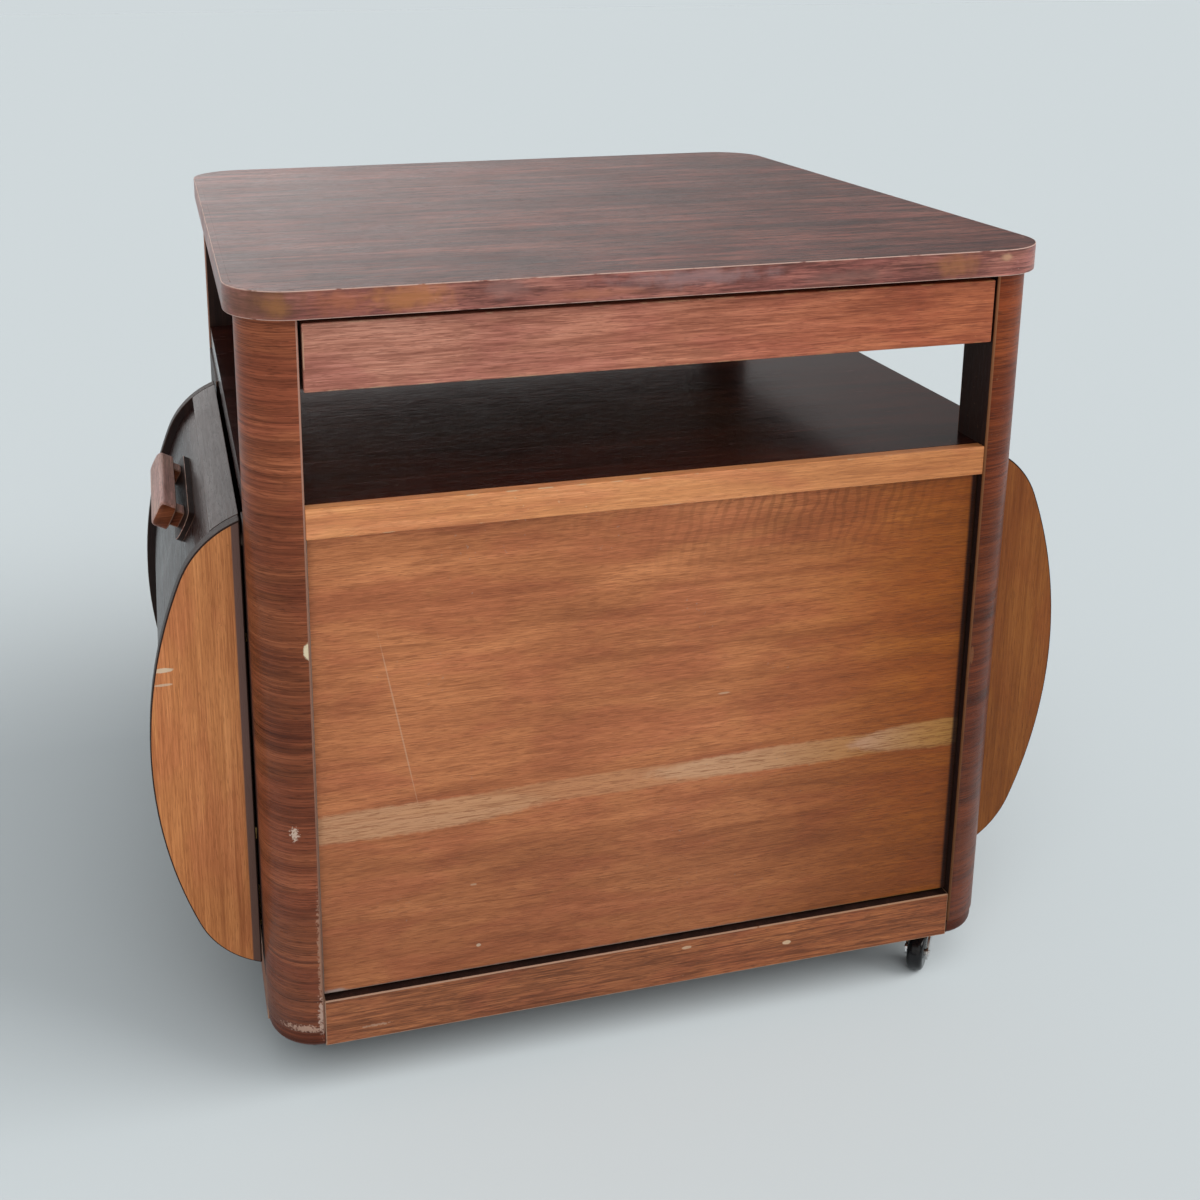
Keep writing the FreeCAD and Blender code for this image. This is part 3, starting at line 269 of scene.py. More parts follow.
    def line(self, start, end, width):
        """1 along a thin straight scratch between two points on a face that looks to the front."""
        start, end = Vector(start), Vector(end)
        run = end - start
        reach = run.length / 2
        turn = math.atan2(run.z, run.x)
        shifted = self.node("ShaderNodeMapping", vector_type="TEXTURE")
        self.put(shifted.inputs["Vector"], self.where)
        shifted.inputs["Location"].default_value = (start + end) / 2
        shifted.inputs["Rotation"].default_value = (0.0, -turn, 0.0)
        shifted.inputs["Scale"].default_value = (reach, SCAR_DEPTH, width)
        length = self.node("ShaderNodeVectorMath", operation="LENGTH")
        self.put(length.inputs[0], shifted.outputs["Vector"])
        return self.torn(length.outputs["Value"], SCRATCH_RAGGED, SCRATCH_GRIT, *SCRATCH_BAND)


def grain_scales(grain, length, width):
    """Mapping scales that draw a pattern of this size, in millimetres, out along the grain."""
    return [1 / (MM * (length if axis in grain else width)) for axis in AXES]


# Wood finishes by material slot.
# tones: dark, middle and light; fibre and figure: length and width in mm;
# stripe and veins: length, width and cover of broad and of thin dark lines;
# gloss: roughness; coat: weight of the clear polish;
# bare_or_shade: tone of knocks and of worn arrises, and on the cheeks a painted dark rim; rub:
# share of an arris that is worn, and on the cheeks the share painted dark
WOODS = {
    "top_veneer": {
        "tones": ((0.022, 0.006, 0.005), (0.150, 0.042, 0.028), (0.440, 0.150, 0.104)),
        "fibre": (40, 1.5), "figure": (300, 22), "stripe": (46, 3.0, 0.8), "veins": (90, 10, 0.45),
        "grain": "x", "gloss": 0.32, "coat": 0.18,
        "bare_or_shade": (0.45, 0.22, 0.13), "rub": 0.5,
    },
    "edge_band": {
        "tones": ((0.100, 0.034, 0.028), (0.335, 0.122, 0.092), (0.610, 0.255, 0.190)),
        "fibre": (30, 1.6), "figure": (60, 14), "stripe": (60, 4, 0.55), "veins": (120, 9, 0.45),
        "grain": "xy", "gloss": 0.36, "coat": 0.08,
        "bare_or_shade": (0.62, 0.40, 0.33), "rub": 0.6,
    },
    "post_wood": {
        "tones": ((0.080, 0.020, 0.008), (0.236, 0.066, 0.026), (0.410, 0.128, 0.054)),
        "fibre": (90, 1.0), "figure": (220, 14), "stripe": (400, 4, 0.40), "veins": (600, 13, 0.50),
        "grain": "xy", "gloss": 0.34, "coat": 0.05,
        "bare_or_shade": (0.33, 0.17, 0.115), "rub": 0.7,
    },
    "shelf_veneer": {
        "tones": ((0.012, 0.003, 0.002), (0.040, 0.009, 0.006), (0.090, 0.023, 0.014)),
        "fibre": (60, 2.0), "figure": (260, 30), "stripe": (160, 8, 0.4), "veins": (160, 14, 0.3),
        "grain": "x", "gloss": 0.20, "coat": 0.09,
        "bare_or_shade": (0.3, 0.14, 0.08), "rub": 0.4,
    },
    "lipping_wood": {
        "tones": ((0.470, 0.176, 0.066), (0.735, 0.302, 0.116), (0.941, 0.435, 0.186)),
        "fibre": (30, 1.0), "figure": (240, 9), "stripe": (60, 2, 0.35), "veins": (90, 7, 0.3),
        "grain": "x", "gloss": 0.40, "coat": 0.05,
        "bare_or_shade": (0.68, 0.42, 0.24), "rub": 0.4,
    },
    "panel_wood": {
        "tones": ((0.280, 0.088, 0.032), (0.505, 0.178, 0.068), (0.690, 0.270, 0.108)),
        "fibre": (16, 0.8), "figure": (170, 18), "stripe": (30, 1.3, 0.3), "veins": (280, 8, 0.42),
        "grain": "x", "gloss": 0.44, "coat": 0.04,
        "bare_or_shade": (0.32, 0.25, 0.21), "rub": 0.7,
    },
    "rail_wood": {
        "tones": ((0.105, 0.030, 0.011), (0.315, 0.104, 0.040), (0.540, 0.200, 0.078)),
        "fibre": (28, 1.0), "figure": (260, 10), "stripe": (60, 2.4, 0.60), "veins": (150, 8, 0.45),
        "grain": "xy", "gloss": 0.44, "coat": 0.04,
        "bare_or_shade": (0.42, 0.25, 0.17), "rub": 0.72,
    },
    # near black, the tone of faces in shade: painted shade, laid also on shaded faces of other
    # pieces
    "side_wood": {
        "tones": ((0.014, 0.007, 0.005), (0.028, 0.012, 0.009), (0.052, 0.022, 0.014)),
        "fibre": (60, 1.3), "figure": (320, 15), "stripe": (160, 4, 0.4), "veins": (180, 9, 0.3),
        "grain": "z", "gloss": 0.46, "coat": 0.0,
        "bare_or_shade": (0.20, 0.10, 0.06), "rub": 0.35,
    },
    "inner_wood": {
        "tones": ((0.028, 0.012, 0.009), (0.052, 0.021, 0.014), (0.085, 0.036, 0.022)),
        "fibre": (60, 1.4), "figure": (300, 14), "stripe": (160, 4, 0.4), "veins": (180, 9, 0.3),
        "grain": "y", "gloss": 0.55, "coat": 0.0,
        "bare_or_shade": (0.2, 0.11, 0.07), "rub": 0.3,
    },
    "drawer_face_wood": {
        "tones": ((0.250, 0.085, 0.054), (0.520, 0.212, 0.142), (0.740, 0.350, 0.242)),
        "fibre": (26, 1.0), "figure": (150, 9), "stripe": (55, 2.2, 0.50), "veins": (100, 8, 0.3),
        "grain": "x", "gloss": 0.40, "coat": 0.06,
        "bare_or_shade": (0.56, 0.32, 0.21), "rub": 0.45,
    },
    "drawer_box_wood": {
        "tones": ((0.36, 0.21, 0.11), (0.50, 0.33, 0.19), (0.60, 0.43, 0.27)),
        "fibre": (60, 1.1), "figure": (260, 12), "stripe": (160, 4, 0.2), "veins": (200, 12, 0.3),
        "grain": "y", "gloss": 0.62, "coat": 0.0,
        "bare_or_shade": (0.62, 0.47, 0.31), "rub": 0.3,
    },
    # the cheeks' near-black bare_or_shade is painted shade: a dark rim over most of each rounded
    # arris
    "flap_cheek_wood": {
        "tones": ((0.444, 0.147, 0.048), (0.710, 0.275, 0.096), (0.905, 0.391, 0.150)),
        "fibre": (48, 0.9), "figure": (260, 11), "stripe": (150, 3, 0.3), "veins": (170, 9, 0.3),
        "grain": "z", "gloss": 0.46, "coat": 0.04,
        "bare_or_shade": (0.035, 0.016, 0.011), "rub": 0.8,
    },
    "flap_face_wood": {
        "tones": ((0.014, 0.007, 0.006), (0.031, 0.014, 0.011), (0.058, 0.029, 0.022)),
        "fibre": (80, 1.4), "figure": (320, 14), "stripe": (160, 5, 0.4), "veins": (180, 9, 0.3),
        "grain": "y", "gloss": 0.30, "coat": 0.045,
        "bare_or_shade": (0.14, 0.085, 0.065), "rub": 0.45,
    },
    "handle_wood": {
        "tones": ((0.230, 0.102, 0.076), (0.560, 0.310, 0.245), (0.860, 0.530, 0.425)),
        "fibre": (40, 0.9), "figure": (110, 6), "stripe": (70, 2, 0.4), "veins": (70, 6, 0.3),
        "grain": "y", "gloss": 0.42, "coat": 0.05,
        "bare_or_shade": (0.36, 0.22, 0.16), "rub": 0.5,
    },
}

# Painted light and shade: slow changes of tone across a face, where it stands in more or less
# light;
# the axis, where each starts and where it is full, and the tone that it multiplies by
PANEL_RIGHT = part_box("front_panel")[1].x
PANEL_SHADE_START = PANEL_RIGHT - 7.0 * MM
PANEL_SHADE_FULL = PANEL_RIGHT - 4.0 * MM
PAINTED_LIGHT_DRIFTS = {
    # painted shade: the panel darker towards its right end and its foot, and a dark strip at its
    # right end for the shade in the post's recess
    "panel_wood": (
        ("x", 0.02, 0.27, (0.60, 0.43, 0.10)),
        ("z", 0.32, 0.12, (0.74, 0.71, 0.70)),
        ("x", PANEL_SHADE_START, PANEL_SHADE_FULL, (0.10, 0.08, 0.10)),
    ),
    # painted shade: the drawer front darker towards the right
    "drawer_face_wood": (("x", -0.25, 0.27, (0.87, 0.58, 0.36)),),
    # painted shade: the lipping darker towards the right
    "lipping_wood": (("x", 0.05, 0.28, (0.80, 0.72, 0.62)),),
    # painted shade: the cheeks darker towards their foot, and the right cheek darker all over
    "flap_cheek_wood": (
        ("z", 0.34, 0.12, (0.80, 0.76, 0.70)),
        ("x", 0.00, 0.20, (0.40, 0.33, 0.20)),
    ),
    # painted light and shade: the posts darker towards the right and at their foot, and lighter at
    # their top
    "post_wood": (
        ("x", 0.00, 0.27, (0.64, 0.48, 0.28)),
        ("z", 0.44, 0.60, (1.40, 1.42, 1.55)),
        ("z", 0.068, 0.052, (0.50, 0.42, 0.42)),
    ),
    # painted shade: the rail darker towards the right
    "rail_wood": (("x", -0.10, 0.27, (0.92, 0.84, 0.72)),),
}

# Painted shadow of the post: a dark strip along the straight edge of each cheek, its width, and the
# shares of its width where it fades
CHEEK_SHADOW_WIDTH = 7.0 * MM
CHEEK_SHADOW_FADE = (1.1, 0.9)
CHEEK_SHADOW_TONE = (0.17, 0.092, 0.075)

# How the layers of a wood are drawn and put together
GRAIN_NOISE = {
    "fibre": {"detail": 6.0, "roughness": 0.7, "distortion": 0.35},
    "figure": {"detail": 2.0, "distortion": 0.7},
    "pores": {"detail": 1.0},
    "blush": {"detail": 3.0, "distortion": 0.6},
    "stripe": {"detail": 4.0, "distortion": 0.3},
    "veins": {"detail": 3.0, "distortion": 0.5},
}
FIBRE_SHARE = 0.50
FIGURE_SHARE = 0.32
CLOUD_SHARE = 0.18
TONE_STOPS = (0.36, 0.50, 0.63)
STRIPE_BAND = (0.50, 0.64)
VEIN_BREADTH = 0.022
CLOUD_SCALE = 7.0
PORE_SIZE = (11, 0.7)
PORE_BAND = (0.58, 0.68)
PORE_DARK = 0.55
BLUSH_SIZE = (110, 34)
BLUSH_BAND = (0.42, 0.62)
BLUSH_TONE = (0.93, 0.84, 0.90)

# Polish: the spread of its roughness, its shine and its clear coat, and woods that differ
GLOSS_SPREAD = 0.16
GRAIN_GLOSS = 0.4
COAT_ROUGHNESS = 0.16
MIRROR_COAT = {"shelf_veneer": 0.09}
POLISH = 0.22
DULLER = {
    "post_wood": 0.10, "flap_cheek_wood": 0.14, "flap_face_wood": 0.13, "shelf_veneer": 0.16,
}

# Depth of the grain in mm, and woods that differ
FIBRE_DEPTH = 0.10
SPECIAL_DEPTH = {"shelf_veneer": 0.015, "top_veneer": 0.18}

# Rubbed arrises (on the cheeks a painted dark rim), smudges and small knocks
WEAR_DETAIL = 4.0
RUB_GRIT = 70.0
RUB_BAND = 0.12
SMUDGE_SCALE = 16.0
KNOCK_GRIT = 300.0
KNOCK_DETAIL = 2.0
KNOCK_BAND = (0.70, 0.75)
KNOCK_FIELD = 8.0
KNOCK_FIELD_BAND = (0.52, 0.66)
KNOCK_COVER = 0.55

# The faces that carry scars, by their place in Y, and the foot of the panel in Z
BAND_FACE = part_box("top_edge_band")[0][1]
POST_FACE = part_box("post_front_left")[0][1]
PANEL_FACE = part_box("front_panel")[0][1]
PANEL_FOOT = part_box("front_panel")[0][2]
RAIL_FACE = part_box("bottom_rail_front")[0][1]
CHEEK_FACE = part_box("left_flap_cheek_front")[0][1]

# Scars by slot: the face, then each one's shape, place in X and Z, half width and height, tone and
# cover; a scratch has its two ends and its half width
SCARS = {
    "edge_band": (BAND_FACE, (
        ("stain", (-0.245, 0.657), (0.035, 0.013), (0.46, 0.15, 0.070), 0.60),
        ("stain", (-0.195, 0.657), (0.045, 0.014), (0.50, 0.19, 0.068), 0.75),
        ("stain", (-0.305, 0.657), (0.050, 0.024), (0.17, 0.070, 0.038), 0.80),
        ("stain", (-0.292, 0.657), (0.014, 0.013), (0.42, 0.170, 0.050), 0.55),
        ("stain", (0.232, 0.658), (0.030, 0.013), (0.46, 0.18, 0.07), 0.6),
        ("patch", (0.277, 0.661), (0.007, 0.004), (0.60, 0.33, 0.20), 0.8),
        ("stain", (-0.125, 0.660), (0.030, 0.010), (0.32, 0.17, 0.15), 0.6),
        ("stain", (0.020, 0.660), (0.090, 0.009), (0.32, 0.20, 0.20), 0.70),
        ("stain", (0.140, 0.654), (0.050, 0.007), (0.24, 0.12, 0.10), 0.6),
        ("stain", (-0.060, 0.652), (0.050, 0.006), (0.42, 0.15, 0.08), 0.6),
    )),
    "post_wood": (POST_FACE, (
        ("chip", (-0.2770, 0.3918), (0.0042, 0.0075), (0.80, 0.66, 0.45), 1.0),
        ("scuff", (-0.2930, 0.2389), (0.0036, 0.0066), (0.74, 0.56, 0.44), 0.85),
        ("scuff", (-0.2930, 0.0640), (0.0230, 0.0036), (0.66, 0.42, 0.31), 0.70),
        ("chip", (0.2785, 0.3176), (0.0020, 0.0090), (0.42, 0.22, 0.14), 0.5),
        ("scuff", (-0.2772, 0.1250), (0.0024, 0.0650), (0.52, 0.29, 0.19), 0.6),
        ("scuff", (-0.2780, 0.0760), (0.0028, 0.0180), (0.64, 0.44, 0.35), 0.75),
    )),
    "panel_wood": (PANEL_FACE, (
        ("streak", (-0.215, 0.2360), (0.140, 0.0150), (0.66, 0.37, 0.200), 0.75),
        ("streak", (-0.020, 0.2420), (0.220, 0.0110), (0.62, 0.31, 0.150), 0.60),
        ("streak", (0.130, 0.2430), (0.150, 0.0120), (0.68, 0.40, 0.230), 0.70),
        ("streak", (0.255, 0.2445), (0.090, 0.0145), (0.80, 0.56, 0.620), 0.75),
        ("patch", (-0.266, PANEL_FOOT + 0.0010), (0.016, 0.0035), (0.50, 0.44, 0.41), 0.8),
        # a greyish band along the whole foot of the panel: partly dust, partly painted shade in its
        # joint with the rail
        ("patch", (0.0, PANEL_FOOT), (0.50, 0.0024), (0.30, 0.25, 0.23), 0.7),
        ("scratch", (-0.2242, 0.3968), (-0.196, 0.2477), 0.0007, (0.58, 0.34, 0.21), 0.55),
        ("chip", (-0.1485, 0.1112), (0.0022, 0.0016), (0.72, 0.55, 0.40), 0.9),
        ("chip", (-0.1523, 0.1681), (0.0030, 0.0010), (0.60, 0.40, 0.26), 0.7),
        ("chip", (0.0582, 0.3088), (0.0060, 0.0010), (0.60, 0.40, 0.26), 0.6),
    )),
    "rail_wood": (RAIL_FACE, (
        ("chip", (0.1221, 0.0667), (0.0045, 0.0022), (0.70, 0.52, 0.36), 0.85),
        ("chip", (0.0300, 0.0790), (0.0050, 0.0016), (0.62, 0.44, 0.30), 0.7),
        ("scuff", (-0.2350, 0.0575), (0.0130, 0.0013), (0.50, 0.32, 0.22), 0.55),
    )),
    "flap_cheek_wood": (CHEEK_FACE, (
        ("chip", (-0.3837, 0.3602), (0.0090, 0.0022), (0.78, 0.60, 0.42), 0.9),
        ("chip", (-0.3835, 0.3480), (0.0080, 0.0012), (0.72, 0.54, 0.38), 0.7),
    )),
}

# How deep scars reach into the wood, in metres, and how ragged, gritty and soft their edges are
SCAR_DEPTH = 0.02
SPECIAL_REACH = {"stain": 0.12, "streak": 0.006}
SCAR_RAGGED = {"patch": 0.9, "stain": 1.2, "chip": 0.5, "scuff": 3.0, "streak": 0.3}
SCAR_GRIT = {"patch": 90.0, "stain": 110.0, "chip": 420.0, "scuff": 520.0, "streak": 130.0}
SCAR_SOFT = {"patch": 0.8, "stain": 0.9, "chip": 0.25, "scuff": 0.5, "streak": 0.25}
SCRATCH_RAGGED = 0.6
SCRATCH_GRIT = 90.0
SCRATCH_BAND = (1.1, 0.7)

# Cross ripple in the figure of the front panel
RIPPLE_CENTRE = (0.12, 0.478)
RIPPLE_REACH = (0.24, 0.085)
RIPPLE_SCALE = 34.0
RIPPLE_LEAN = math.radians(-14)
RIPPLE_WARP = 5.0
RIPPLE_DETAIL = 2.5
RIPPLE_DETAIL_SCALE = 1.2
RIPPLE_BAND = (0.45, 0.9)
RIPPLE_EDGE = {"ragged": 0.9, "grit": 18.0, "soft": 0.9}
RIPPLE_TONE = (0.150, 0.050, 0.018)
RIPPLE_COVER = 0.30

# Metals: clean tone, tarnish and roughness
METALS = {
    "brass": ((0.62, 0.42, 0.16), (0.22, 0.13, 0.05), 0.18),
    "castor_steel": ((0.80, 0.80, 0.81), (0.42, 0.40, 0.38), 0.04),
}
SOIL_DETAIL = 5.0
TARNISH_SCALE = 55.0
TARNISH_BAND = (0.42, 0.68)
TARNISH_DULL = 0.25
RUB_MARK_SCALES = (900.0, 240.0, 900.0)
RUB_MARK_DEPTH = 0.02 * MM

# Rubbers: clean tone, dust and roughness
RUBBERS = {
    "wheel_rubber": ((0.006, 0.006, 0.007), (0.022, 0.021, 0.020), 0.08),
    "buffer_rubber": ((0.055, 0.032, 0.022), (0.10, 0.07, 0.05), 0.55),
}
RUBBER_SHINE = 0.3
DUST_SCALE = 120.0
DUST_BAND = (0.52, 0.75)
DUST_DULL = 0.2
DUST_DEPTH = 0.05 * MM


def scarred(finish, colour, face, scars, inlaid=False):
    """Lays the scars of one face over a colour, or only the streaks that lie in the wood itself."""
    for kind, *about, tone, cover in scars:
        if (kind == "streak") != inlaid:
            continue
        if kind == "scratch":
            start, end, width = about
            mask = finish.line((start[0], face, start[1]), (end[0], face, end[1]), width)
        else:
            (x, z), (wide, high) = about
            deep = SPECIAL_REACH.get(kind, SCAR_DEPTH)
            mask = finish.spot((x, face, z), (wide, deep, high),
                               SCAR_RAGGED[kind], SCAR_GRIT[kind], SCAR_SOFT[kind])
        colour = finish.lay(colour, mask, cover, tone)
    return colour


def rippled(finish, colour):
    """Dark bars across the grain, as in fiddle-back figure, near the top of the panel."""
    turned = finish.node("ShaderNodeMapping")
    finish.put(turned.inputs["Vector"], finish.where)
    turned.inputs["Rotation"].default_value = (0.0, RIPPLE_LEAN, 0.0)
    wave = finish.node("ShaderNodeTexWave", wave_type="BANDS", bands_direction="X")
    finish.put(wave.inputs["Vector"], turned.outputs["Vector"])
    wave.inputs["Scale"].default_value = RIPPLE_SCALE
    wave.inputs["Distortion"].default_value = RIPPLE_WARP
    wave.inputs["Detail"].default_value = RIPPLE_DETAIL
    wave.inputs["Detail Scale"].default_value = RIPPLE_DETAIL_SCALE
    bars = finish.between(wave.outputs["Fac"], *RIPPLE_BAND)
    centre = (RIPPLE_CENTRE[0], PANEL_FACE, RIPPLE_CENTRE[1])
    reach = (RIPPLE_REACH[0], SCAR_DEPTH, RIPPLE_REACH[1])
    mask = finish.reckon("MULTIPLY", bars, finish.spot(centre, reach, **RIPPLE_EDGE))
    return finish.lay(colour, mask, RIPPLE_COVER, RIPPLE_TONE)


def painted_post_shadow(finish, colour):
    """Painted shadow of the post: a dark strip along the straight edge of each cheek."""
    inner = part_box("right_flap_cheek_front")[0].x
    out = finish.reckon("ABSOLUTE", finish.axis("x"))
    fade = [inner + CHEEK_SHADOW_WIDTH * share for share in CHEEK_SHADOW_FADE]
    return finish.mix(finish.between(out, *fade), colour, CHEEK_SHADOW_TONE)


def polish_wood(slot, tones, grain, fibre, figure, stripe, veins, gloss, coat, bare_or_shade, rub):
    """A veneer or solid wood, with the wear and the scars of its piece."""
    finish = Finish(slot)
    dark = tones[0]

    def drawn(layer, size):
        """Noise drawn out along the grain."""
        return finish.noise(finish.stretched(grain_scales(grain, *size)), **GRAIN_NOISE[layer])

    fibres = drawn("fibre", fibre)
    broad = drawn("figure", figure)
    cloud = finish.noise(finish.where, CLOUD_SCALE)
    pores = finish.between(drawn("pores", PORE_SIZE), *PORE_BAND)
    blend = finish.reckon("MULTIPLY", fibres, FIBRE_SHARE)
    blend = finish.reckon("MULTIPLY_ADD", broad, FIGURE_SHARE, blend)
    blend = finish.reckon("MULTIPLY_ADD", cloud, CLOUD_SHARE, blend)
    colour = finish.ramp(blend, list(zip(TONE_STOPS, tones)))
    blush = finish.between(drawn("blush", BLUSH_SIZE), *BLUSH_BAND)
    colour = finish.mix(blush, colour, BLUSH_TONE, "MULTIPLY")
    if slot in SCARS:
        colour = scarred(finish, colour, *SCARS[slot], inlaid=True)
    *size, cover = stripe
    lines = finish.between(drawn("stripe", size), *STRIPE_BAND)
    colour = finish.lay(colour, lines, cover, dark)
    *size, cover = veins
    level = finish.reckon("SUBTRACT", drawn("veins", size), NOISE_MIDDLE)
    lines = finish.between(finish.reckon("ABSOLUTE", level), VEIN_BREADTH, 0.0)
    colour = finish.lay(colour, lines, cover, dark)
    colour = finish.lay(colour, pores, PORE_DARK, dark)
    if slot == "panel_wood":
        colour = rippled(finish, colour)
    # painted shadow of the post on each cheek
    if slot == "flap_cheek_wood":
        colour = painted_post_shadow(finish, colour)
    if slot in SCARS:
        colour = scarred(finish, colour, *SCARS[slot])
    specks = finish.between(finish.noise(finish.where, KNOCK_GRIT, KNOCK_DETAIL), *KNOCK_BAND)
    field = finish.between(finish.noise(finish.where, KNOCK_FIELD), *KNOCK_FIELD_BAND)
    colour = finish.lay(colour, finish.reckon("MULTIPLY", specks, field), KNOCK_COVER, bare_or_shade)
    # on the cheeks the worn arrises take a near-black tone: painted shade on their rims
    rubbed_or_rim_shade = finish.between(finish.noise(finish.where, RUB_GRIT, WEAR_DETAIL),
                            1.0 - rub - RUB_BAND / 2, 1.0 - rub + RUB_BAND / 2)
    rubbed_or_rim_shade = finish.reckon("MULTIPLY", rubbed_or_rim_shade, finish.attribute("arris"))
    colour = finish.mix(rubbed_or_rim_shade, colour, bare_or_shade)
    # painted light and shade, multiplied over the colour
    for axis, start, full, tone in PAINTED_LIGHT_DRIFTS.get(slot, ()):
        along = finish.between(finish.axis(axis), start, full)
        colour = finish.mix(along, colour, tone, "MULTIPLY")
    smudge = finish.noise(finish.where, SMUDGE_SCALE, WEAR_DETAIL)
    rough = finish.reckon("MULTIPLY_ADD", smudge, GLOSS_SPREAD, gloss - GLOSS_SPREAD / 2)
    rough = finish.reckon("MULTIPLY_ADD", rubbed_or_rim_shade, GLOSS_SPREAD, rough)
    uneven = finish.reckon("SUBTRACT", fibres, NOISE_MIDDLE)
    rough = finish.reckon("MULTIPLY_ADD", uneven, GRAIN_GLOSS, rough, clamp=True)
    finish.set(Base_Color=colour, Roughness=rough, Specular_IOR_Level=DULLER.get(slot, POLISH),
               Coat_Weight=coat, Coat_Roughness=MIRROR_COAT.get(slot, COAT_ROUGHNESS))
    finish.relief(finish.reckon("SUBTRACT", fibres, pores),
                  SPECIAL_DEPTH.get(slot, FIBRE_DEPTH) * MM)
    return finish.material


def plate_metal(slot, tone, tarnish, gloss):
    """Metal with tarnish in soft clouds and fine rub marks."""
    finish = Finish(slot)
    cloud = finish.noise(finish.where, TARNISH_SCALE, SOIL_DETAIL)
    colour = finish.mix(finish.between(cloud, *TARNISH_BAND), tone, tarnish)
    rough = finish.reckon("MULTIPLY_ADD", cloud, TARNISH_DULL, gloss)
    finish.set(Base_Color=colour, Roughness=rough, Metallic=1.0)
    finish.relief(finish.noise(finish.stretched(RUB_MARK_SCALES)), RUB_MARK_DEPTH)
    return finish.material


def mould_rubber(slot, tone, dust, gloss):
    """Rubber with dust in soft clouds."""
    finish = Finish(slot)
    cloud = finish.noise(finish.where, DUST_SCALE, SOIL_DETAIL)
    colour = finish.mix(finish.between(cloud, *DUST_BAND), tone, dust)
    rough = finish.reckon("MULTIPLY_ADD", cloud, DUST_DULL, gloss)
    finish.set(Base_Color=colour, Roughness=rough, Specular_IOR_Level=RUBBER_SHINE)
    finish.relief(cloud, DUST_DEPTH)
    return finish.material


FINISHES = {slot: polish_wood(slot, **wood) for slot, wood in WOODS.items()}
FINISHES.update({slot: plate_metal(slot, *metal) for slot, metal in METALS.items()})
FINISHES.update({slot: mould_rubber(slot, *rubber) for slot, rubber in RUBBERS.items()})


def is_arris(node, edge):
    """Whether an edge is a sharp one that no neighbour closes up."""
    if len(edge.link_faces) != 2 or edge.calc_face_angle() < ARRIS_ANGLE:
        return False
    middle = sum((corner.co for corner in edge.verts), Vector()) / 2
    if SLOT_OF[node] == "edge_band":
        away = middle.xy.normalized()
        return all(face.normal.xy.dot(away) > -FLANK_TURN for face in edge.link_faces)
    return SLOT_OF[node] != "post_wood" or middle.z > POST_FOOT


def trim(node, shape):
    """Takes a little off both ends and off the top of a front, which widens the gaps round it."""
    end, top = FRONT_TRIM[node]
    low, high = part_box(node)
    for corner in shape.verts:
        corner.co.x *= 1.0 - end / high.x
        corner.co.z = low.z + (corner.co.z - low.z) * (1.0 - top / (high.z - low.z))


def clean_copy(node):
    """A copy of a CAD node's mesh with its corners joined and its flat faces whole."""
    mesh = NODES[node].data.copy()
    shape = bmesh.new()
    shape.from_mesh(mesh)
    bmesh.ops.remove_doubles(shape, verts=shape.verts, dist=WELD)
    bmesh.ops.dissolve_limit(shape, angle_limit=FLAT_ANGLE, verts=shape.verts, edges=shape.edges)
    bmesh.ops.recalc_face_normals(shape, faces=shape.faces)
    if node in FRONT_TRIM:
        trim(node, shape)
    weight = shape.edges.layers.float.new("bevel_weight_edge")
    for edge in shape.edges:
        edge[weight] = float(is_arris(node, edge))
    shape.to_mesh(mesh)
    shape.free()
    return mesh


def settle(piece):
    """Bakes an object's modifiers into its mesh."""
    shown = piece.evaluated_get(bpy.context.evaluated_depsgraph_get())
    baked = bpy.data.meshes.new_from_object(shown)
    piece.modifiers.clear()
    piece.data = baked
    return baked


def finish_or_painted_shade_of(node, middle, normal):
    """The finish of a face, where a piece isn't the same all round; faces that stand in shade get a
    darker finish as painted shade.
    """
    slot = SLOT_OF[node]
    if node.endswith("handle_bar"):
        # painted shade: the handle bar's ends get the darker post_wood and its back the near-black
        # side_wood
        out = Vector((math.copysign(math.cos(BAR_TILT), middle.x), 0.0, math.sin(BAR_TILT)))
        if abs(normal.y) > BAR_END:
            return "post_wood"
        return slot if normal.dot(out) > BAR_FACING else "side_wood"
    inward = min(normal.x * math.copysign(1.0, middle.x),
                 normal.y * math.copysign(1.0, middle.y)) < -FLANK_TURN
    outward = normal.y * math.copysign(1.0, middle.y - FLAP_MIDDLE) > FLANK_TURN
    if slot == "edge_band" and normal.z > FLANK_TURN:
        return "top_veneer"
    if node == "base_board" and abs(normal.z) < FLANK_TURN:
        return "post_wood"
    # painted shade: the inner faces of the posts and cheeks, the rail's ledge under the panel and
    # the handle's back plate get the near-black side_wood
    dark = (slot == "post_wood" and inward or slot == "flap_cheek_wood" and not outward
            or slot == "rail_wood" and normal.z > FLANK_TURN or node.endswith("handle_plate"))
    return "side_wood" if dark else slot


